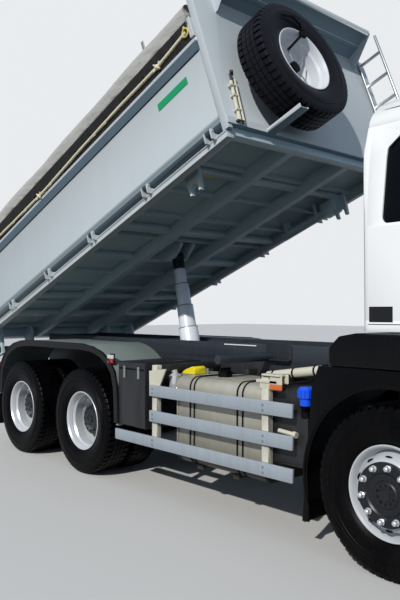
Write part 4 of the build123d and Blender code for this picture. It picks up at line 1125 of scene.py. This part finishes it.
def build_tarp_edge():
    """Dark hem below the roll, and the cream rope laced along it with its knots, eyelets and ring"""
    hem, rope, loops, end_ring = (bmesh.new() for _ in range(4))
    drop = [(-1.288, 1.33), (-1.278, 1.28), (-1.262, 1.21), (-1.254, 1.161)]
    skin_rows(hem, [[hem.verts.new((along, out, h)) for out, h in drop] for along in (roll_from, 4.79)])
    bmesh.ops.solidify(hem, geom=hem.faces[:], thickness=0.003)

    points = rope_points()
    rod_path(rope, points, rope_radius, 10)
    for point in points[1:-1]:
        ball(rope, point, rope_radius + 0.0003)
    for knot_along in (4.33, 2.05):
        knot = min(points, key=lambda point: abs(point.x - knot_along))
        for angle in (0.5, 2.2, 3.6, 5.4):
            rod(rope, knot, knot + Vector((0.055 * cos(angle), -0.012, 0.05 * sin(angle))), 0.008, 8)
        ball(rope, knot, 0.026, 12, 8)
    for point in points[1:-1:3]:
        rod(loops, point + Vector((0, 0.014, 0.035)), point + Vector((0, -0.004, 0.035)), 0.011)
        rod(loops, point + Vector((0, -0.006, 0.036)), point + Vector((0, -0.01, -0.012)), 0.004, 6)

    ring_middle, ring_wire = 0.036, 0.009
    turn = Matrix.Rotation(pi / 2, 4, "X")
    wire = bmesh.ops.create_circle(end_ring, segments=10, radius=ring_wire,
                                   matrix=turn @ Matrix.Translation((ring_middle, 0, 0)))["verts"]
    edges = list({edge for vert in wire for edge in vert.link_edges})
    bmesh.ops.spin(end_ring, geom=wire + edges, cent=(0, 0, 0), axis=(0, 0, 1), dvec=(0, 0, 0),
                   angle=2 * pi, steps=24, use_merge=True)
    hung = Matrix.Translation((4.749, rope_out - 0.004, 1.25)) @ turn
    bmesh.ops.transform(end_ring, matrix=hung, verts=end_ring.verts)
    placed_cube(end_ring, (4.735, rope_out - 0.012, 1.282), (4.763, rope_out, 1.33), 0.004)
    return [on_bed(hem, "tarp_hem", band_cloth, "tarpaulin"),
            on_bed(rope, "tarp_edge_rope", rope_cream, "tarpaulin"),
            on_bed(loops, "tarp_eyelets", black_rubber, "dark_plastic"),
            on_bed(end_ring, "tarp_ring", ring_yellow, "galvanised")]


def build_tarp_stops():
    """Pale plate at the front end of the roll, and the post that stops the roll on top of the board"""
    end_plate, stop = bmesh.new(), bmesh.new()
    placed_cube(end_plate, (4.785, -1.275, 1.165), (4.83, -1.24, 1.36), 0.004)
    placed_cube(stop, (4.13, roll_out - 0.02, roll_h + 0.07), (4.165, roll_out - 0.008, 1.655), 0.004)
    rod(stop, (4.13, roll_out - 0.09, 1.4), (4.17, roll_out + 0.02, 1.56), 0.008, 8)
    on_bed(end_plate, "tarp_end_plate", bed_paint, "bed_paint")
    on_bed(stop, "tarp_stop", galvanised, "galvanised")


def build_board_shadow_strips_and_lips():
    """Thin strip along the top of each side board that carries the painted shadow of the tarpaulin, and the
    bright lip along its upper edge
    """
    profile_low, profile_top, lip_top = 1.034, 1.129, 1.158
    rear, front = -0.168, bed_front - 0.082
    for side_name, side in sides:
        dark, bright = bmesh.new(), bmesh.new()
        inner, outer = sorted((side * (board_out + 0.0005), side * (board_out + 0.0055)))
        # A strip in painted shadow, where the tarpaulin's shadow falls
        placed_cube(dark, (rear, inner, profile_low), (front, outer, profile_top), 0.001)
        inner, outer = sorted((side * (board_out - 0.001), side * (board_out + 0.0075)))
        placed_cube(bright, (rear, inner, profile_top), (front, outer, lip_top), 0.002)
        on_bed(dark, "board_top_shadow_strip_" + side_name, shaded_paint, "bed_paint", side_name + "_board")
        on_bed(bright, "board_lip_" + side_name, bed_paint, "bed_paint", side_name + "_board")


# Telescopic cylinder

stage_rest = 0.2335  # how far each tube stands out of the one round it at rest
stage_tops = [
    # body, radius of the tube, distance of its top from the trunnion when all is drawn in
    ("barrel", 0.125, 0.240), ("stage_1", 0.108, 0.260), ("stage_2", 0.093, 0.280), ("stage_3", 0.079, 0.300),
    ("stage_4", 0.066, 0.320),
]


def build_cylinder_rings():
    """A dark wiper at the top of each tube"""
    turn = Vector((0, 1, 0)).rotation_difference(cylinder_axis).to_matrix().to_4x4()
    inner_radii = [radius + 0.001 for _, radius, _ in stage_tops[1:]] + [0.0]
    for number, ((body, radius, top), inner) in enumerate(zip(stage_tops, inner_radii)):
        centre = trunnion + cylinder_axis * (top + number * stage_rest)
        collar, neck = radius + 0.0008, radius - 0.003
        section = [(-0.007, inner), (-0.007, collar), (-0.002, collar), (-0.002, neck), (0.003, neck),
                   (0.003, inner)]
        wiper = bmesh.new()
        ring(wiper, section, 48)
        place = Matrix.Translation(centre) @ turn
        finish_piece(wiper, f"wiper_{body}", black_rubber, body, "dark_plastic", place)


# Rear mudguards

mudguard_line = [
    (-0.584, 0.66), (-0.58, 0.9), (-0.543, 1.005), (-0.44, 1.14), (-0.32, 1.221), (-0.19, 1.275),
    (0.0, 1.311), (0.2, 1.325), (1.4, 1.325), (1.6, 1.304), (1.76, 1.255), (1.88, 1.184), (1.965, 1.09),
    (2.008, 0.95), (2.022, 0.8), (2.029, 0.6),
]


def build_mudguard_edges():
    """Black side wall under the outer edge of each double mudguard"""
    wall_out, wall_depth = 1.241, 0.075
    centre = Vector((0.75, 0, 0.55))
    outer = [Vector((ahead, 0, z - 0.002)) for ahead, z in mudguard_line]
    inner = [point + (centre - point).normalized() * wall_depth for point in outer]
    for side_name, side in sides:
        bm = bmesh.new()
        skin_rows(bm, [[bm.verts.new((point.x, side * out, point.z)) for point in points]
                       for out, points in ((wall_out, outer), (wall_out - 0.006, inner))])
        bmesh.ops.solidify(bm, geom=bm.faces[:], thickness=0.012)
        rod_path(bm, [Vector((point.x, side * (wall_out - 0.003), point.z)) for point in outer], 0.011, 10)
        on_truck(bm, "mudguard_edge_" + side_name, dark_plastic, "dark_plastic")


def build_mudguard_lamps():
    """Red and clear lamps on a holder at the front end of each mudguard"""
    red, clear, holder = bmesh.new(), bmesh.new(), bmesh.new()
    both_cubes(clear, (1.845, 1.22, 1.2), (1.94, 1.244, 1.24), 0.006)
    both_cubes(red, (1.845, 1.22, 1.158), (1.94, 1.244, 1.199), 0.006)
    both_cubes(holder, (1.86, 1.2, 1.145), (1.925, 1.224, 1.25), 0.003)
    on_truck(red, "mudguard_lamps_red", red_lens, "lamp_lens")
    on_truck(clear, "mudguard_lamps_clear", clear_lens, "lamp_lens")
    on_truck(holder, "mudguard_lamp_holders", black_rubber, "dark_plastic")


# Spare wheel's clamp and the latch rod on the front wall

def build_spare_clamp():
    """Black strap over the tyre that hooks behind the rim's edge, held to the disc by thin rods"""
    strap, rods = bmesh.new(), bmesh.new()
    strap_end = (0.02, -0.57, 0.965)
    line = [Vector((spare_along + ahead, out, h)) for ahead, out, h in (
        (0.172, -0.74, 1.15), (0.176, -0.6, 1.178), (0.166, -0.5, 1.14), (0.13, -0.45, 1.085), strap_end)]
    rod_path(strap, line, 0.012)
    for point in line[1:-1]:
        ball(strap, point, 0.0122)
    placed_cube(strap, (spare_along + 0.118, -0.49, 1.05), (spare_along + 0.146, -0.42, 1.105), 0.006)
    centre = Vector((spare_along + 0.004, spare_out, spare_h))
    rod(strap, centre - Vector((0.02, 0, 0)), centre + Vector((0.02, 0, 0)), 0.05, 24)
    for ahead, out, h in (strap_end, (0.02, -0.38, 0.93), (0.02, -0.42, 0.62)):
        rod(rods, centre + Vector((0.012, 0, 0)), (spare_along + ahead, out, h), 0.006, 8)
    on_bed(strap, "spare_clamp", black_rubber, "chassis_paint")
    on_bed(rods, "spare_clamp_rods", galvanised, "galvanised")


def build_wall_latch():
    """Cream bar with its rod, guides and lever that locks each side board from the front wall"""
    guide_places = ((0.12, 0.034), (0.36, 0.028), (0.7, 0.028), (0.97, 0.04))  # share of the bar, half width
    for side_name, side in sides:
        dark, pale = bmesh.new(), bmesh.new()
        top = Vector((bed_front + 0.022, side * 1.09, 0.695))
        low = Vector((bed_front + 0.022, side * 1.122, 0.29))
        rod(pale, top, low, 0.015, 8)
        rod(pale, top + Vector((0.012, -side * 0.036, 0.02)), low + Vector((0.012, -side * 0.034, 0)),
            0.009, 10)
        lever = top + Vector((0, -side * 0.018, 0))
        rod(dark, lever + Vector((0, 0, 0.075)), lever - Vector((0, 0, 0.01)), 0.013, 10)
        rod(dark, top + Vector((0, -side * 0.03, 0.07)), top + Vector((0.03, -side * 0.005, 0.082)),
            0.016, 10)
        for share, half_width in guide_places:
            centre = top.lerp(low, share)
            placed_cube(dark if share == guide_places[-1][0] else pale,
                        (bed_front, centre.y - half_width, centre.z - 0.009),
                        (bed_front + 0.043, centre.y + half_width, centre.z + 0.009), 0.003)
        on_bed(dark, "wall_latch_" + side_name, cast_iron, "galvanised")
        on_bed(pale, "wall_latch_bar_" + side_name, cream_paint, "galvanised")


# Cab

def build_cab_lines():
    """Seam under the roof, the skirt's seam and the bare sticker by the rear edge"""
    seams, sticker = bmesh.new(), bmesh.new()
    roof_seam_z, skirt_seam_z, skirt_out = 2.985, 1.576, 1.1497
    for side in (1, -1):
        rod_path(seams, [(ahead, side * out, roof_seam_z) for ahead, out in (
            (4.76, 1.03), (4.9, 1.035), (5.98, 1.035))], 0.0035, 6)
        out = side * skirt_out
        rod(seams, (4.75, out, skirt_seam_z), (5.2, out, skirt_seam_z), 0.003, 6)
    placed_cube(sticker, (4.757, -1.1515, 1.59), (4.93, -1.1495, 1.69), 0.0005)
    on_truck(seams, "cab_seams", trim_plastic, "dark_plastic", "cab")
    on_truck(sticker, "cab_sticker", sticker_black, "dark_plastic", "cab")


def build_cab_trim():
    """Mirror faces, wipers, side lamps and grab rails"""
    glass, black, amber, steel = (bmesh.new() for _ in range(4))
    for low, high in ((2.09, 2.40), (2.42, 2.535)):
        both_cubes(glass, (6.167, 1.25, low), (6.172, 1.43, high), 0.002)
    for pivot_out in (-0.72, -0.02):
        foot, tip = Vector((6.352, pivot_out, 2.075)), Vector((6.318, pivot_out + 0.56, 2.19))
        rod(black, foot - Vector((0.03, 0, 0)), foot + Vector((0.012, 0, 0)), 0.018)
        rod(black, foot, tip, 0.008, 8)
        rod(black, tip + Vector((0, -0.3, -0.035)), tip + Vector((0, 0.26, 0.03)), 0.009, 8)
    both_cubes(amber, (6.14, 1.148, 1.72), (6.19, 1.158, 1.76), 0.004)
    for side in (1, -1):
        rod_path(steel, [(5.188, side * out, z) for out, z in (
            (1.145, 1.66), (1.19, 1.69), (1.19, 2.08), (1.145, 2.11))], 0.0125, 12)
    on_truck(glass, "mirror_faces", mirror_face, "glass", "cab")
    on_truck(black, "wipers", black_rubber, "dark_plastic", "cab")
    on_truck(amber, "cab_side_lamps", amber_lens, "lamp_lens", "cab")
    on_truck(steel, "cab_grab_rails", trim_plastic, "dark_plastic", "cab")


def build_seats():
    """Cushion, back and head rest of each seat with their side rolls, sewn and stuffed, on a dark base"""
    base = bmesh.new()
    seat_out = 0.57
    lean = Matrix.Rotation(radians(-6), 4, "Y")
    for side_name, side in sides:
        cushion = bmesh.new()
        middle = side * seat_out

        def padding(rear, front, half_width, low, high, edge, turn=None, segments=4, out=0.0):
            placed_cube(cushion, (rear, middle + out - half_width, low),
                        (front, middle + out + half_width, high), edge, turn, segments)

        padding(5.09, 5.56, 0.25, 1.8, 1.935, 0.045)
        padding(4.965, 5.105, 0.24, 1.93, 2.45, 0.05, lean)
        padding(4.93, 5.03, 0.14, 2.46, 2.62, 0.04, lean)
        for out in (-0.205, 0.205):
            padding(5.1, 5.54, 0.045, 1.845, 1.955, 0.03, None, 3, out)
            padding(5.035, 5.125, 0.04, 1.98, 2.4, 0.03, lean, 3, out)
        made = on_truck(cushion, "seat_cushions_" + side_name, seat_fabric, "tarpaulin", "cab",
                        replaces=("seats",))
        placed_cube(base, (5.12, middle - 0.22, 1.585), (5.53, middle + 0.22, 1.8), 0.012)
        rod(base, (5.0, middle, 2.42), (4.98, middle, 2.5), 0.012, 8)
    on_truck(base, "seat_bases", trim_plastic, "dark_plastic", "cab")


# Lower body trim

def build_step_treads():
    """Ribbed treads on the steps of both sides"""
    bm = bmesh.new()
    rib_count, rib_pitch = 10, 0.04
    for step_z in (0.4, 0.65, 0.9):
        both_cubes(bm, (5.645, 1.095, step_z + 0.0005), (6.055, 1.236, step_z + 0.008), 0.001)
        for number in range(rib_count):
            rear = 5.665 + rib_pitch * number
            both_cubes(bm, (rear, 1.1, step_z + 0.007), (rear + 0.016, 1.232, step_z + 0.013), 0.001)
    on_truck(bm, "step_treads", galvanised, "galvanised")


def build_plates_and_flaps():
    """Blank number plates, mud flaps behind the wheels and the red reflectors at the rear"""
    white, dark, red = bmesh.new(), bmesh.new(), bmesh.new()
    placed_cube(white, (6.4205, -0.26, 0.4), (6.426, 0.26, 0.51), 0.001)
    placed_cube(white, (-0.966, -0.26, 0.455), (-0.9605, 0.26, 0.565), 0.001)
    both_cubes(dark, (-0.6, 0.61, 0.26), (-0.592, 1.23, 0.68), 0.002)
    both_cubes(dark, (4.268, 0.78, 0.2), (4.276, 1.222, 0.66), 0.002)
    for height in (0.34, 0.42, 0.5, 0.58):
        both_cubes(dark, (-0.604, 0.64, height), (-0.599, 1.2, height + 0.012), 0.001)
    for side in (1, -1):
        for bm, front, rear, radius in ((red, -0.9605, -0.968, 0.035), (dark, -0.96, -0.964, 0.041)):
            rod(bm, (front, side * 1.12, 0.51), (rear, side * 1.12, 0.51), radius, 24)
    on_truck(white, "number_plates", plate_white, "cab_paint")
    on_truck(dark, "mud_flaps", black_rubber, "dark_plastic")
    on_truck(red, "rear_reflectors", red_lens, "lamp_lens")


def build_box_lids():
    """Lids, latches and straps of the boxes on the frame, and the silencer's slats and tail pipe"""
    dark, steel = bmesh.new(), bmesh.new()
    placed_cube(dark, (2.05, -1.242, 1.12), (2.435, -1.2355, 1.132), 0.002)
    for ahead in (2.12, 2.34):
        placed_cube(steel, (ahead, -1.244, 1.04), (ahead + 0.03, -1.2355, 1.15), 0.003)
    placed_cube(dark, (2.075, 1.1505, 1.0), (2.935, 1.158, 1.012), 0.002)
    for ahead in (2.2, 2.5, 2.8):
        placed_cube(steel, (ahead, 1.151, 0.96), (ahead + 0.035, 1.162, 1.05), 0.003)
    slat_count, slat_pitch, slat_height = 13, 0.045, 0.02
    for number in range(slat_count):
        low = 0.48 + slat_pitch * number
        placed_cube(dark, (3.16, 1.151, low), (4.09, 1.157, low + slat_height), 0.002)
    rod_path(steel, [(3.3, 0.9, 0.43), (3.3, 0.9, 0.36), (3.22, 1.0, 0.33), (3.12, 1.13, 0.33)], 0.045, 20)
    on_truck(dark, "box_lines", black_rubber, "dark_plastic")
    on_truck(steel, "box_latches", galvanised, "galvanised")


# Camera, light and floor

def set_camera():
    camera = bpy.data.objects.new("camera", bpy.data.cameras.new("camera"))
    camera.data.sensor_width = 36.0
    camera.data.lens = 38.889
    camera.data.clip_end = 200
    camera.location = truck_place @ Vector((7.1732, -4.7592, 1.6559))
    camera.rotation_euler = (radians(91.055), 0, radians(48.42))
    bpy.context.scene.collection.objects.link(camera)
    bpy.context.scene.camera = camera


def set_light():
    """A sun as in the photo and a pale sky that shows brighter to the camera than it lights"""
    scene = bpy.context.scene
    scene.view_settings.view_transform = "Standard"
    scene.cycles.caustics_reflective = False
    scene.cycles.caustics_refractive = False
    world = bpy.data.worlds.new("studio")
    scene.world = world
    world.use_nodes = True
    tree = world.node_tree
    sky = tree.nodes["Background"]
    rays = add_node(tree, "LightPath")
    seen = calc(tree, "MAXIMUM", rays.outputs["Is Camera Ray"], rays.outputs["Is Transmission Ray"])
    tree.links.new(mix_colour(tree, seen, (0.66, 0.8, 1.0, 1), (0.86, 0.88, 0.9, 1)), sky.inputs["Color"])
    tree.links.new(plus(tree, times(tree, seen, 0.5), 0.45), sky.inputs["Strength"])
    sun = bpy.data.objects.new("key_light", bpy.data.lights.new("key_light", "SUN"))
    sun.data.energy = 3.1
    sun.data.angle = radians(1.2)
    sun.data.color = (1.0, 0.97, 0.93)
    sun.rotation_euler = Vector((-0.55, 1.33, -1.0)).to_track_quat("-Z", "Y").to_euler()
    scene.collection.objects.link(sun)


def lay_floor():
    bm = bmesh.new()
    bmesh.ops.create_grid(bm, x_segments=2, y_segments=2, size=60.0)
    mesh = bpy.data.meshes.new("studio_floor")
    bm.to_mesh(mesh)
    bm.free()
    floor = bpy.data.objects.new("studio_floor", mesh)
    bpy.context.scene.collection.objects.link(floor)
    material, tree, shader = new_material("studio_floor", specular=0.1)
    rays = add_node(tree, "LightPath")
    seen = calc(tree, "MAXIMUM", rays.outputs["Is Camera Ray"], rays.outputs["Is Glossy Ray"])
    seen = calc(tree, "MAXIMUM", seen, rays.outputs["Is Transmission Ray"])
    tree.links.new(mix_colour(tree, seen, srgb(88, 86, 82), srgb(206, 205, 202)), shader.inputs["Base Color"])
    shader.inputs["Roughness"].default_value = 0.9
    mesh.materials.append(material)


set_camera()
set_light()
lay_floor()
dress_nodes()
build_wheels()
build_tank_fittings()
build_blue_cap()
build_post_heads()
build_amber_lamps()
build_storage_tube()
build_green_strip()
build_socket_skins()
build_tarpaulin()
build_tarp_stops()
build_cylinder_rings()
build_mudguard_edges()
build_mudguard_lamps()
build_spare_clamp()
build_wall_latch()
build_wheel_chock()
build_frame_fittings()
build_board_shadow_strips_and_lips()
build_cab_lines()
build_cab_trim()
build_seats()
build_step_treads()
build_plates_and_flaps()
build_box_lids()

bpy.context.view_layer.update()
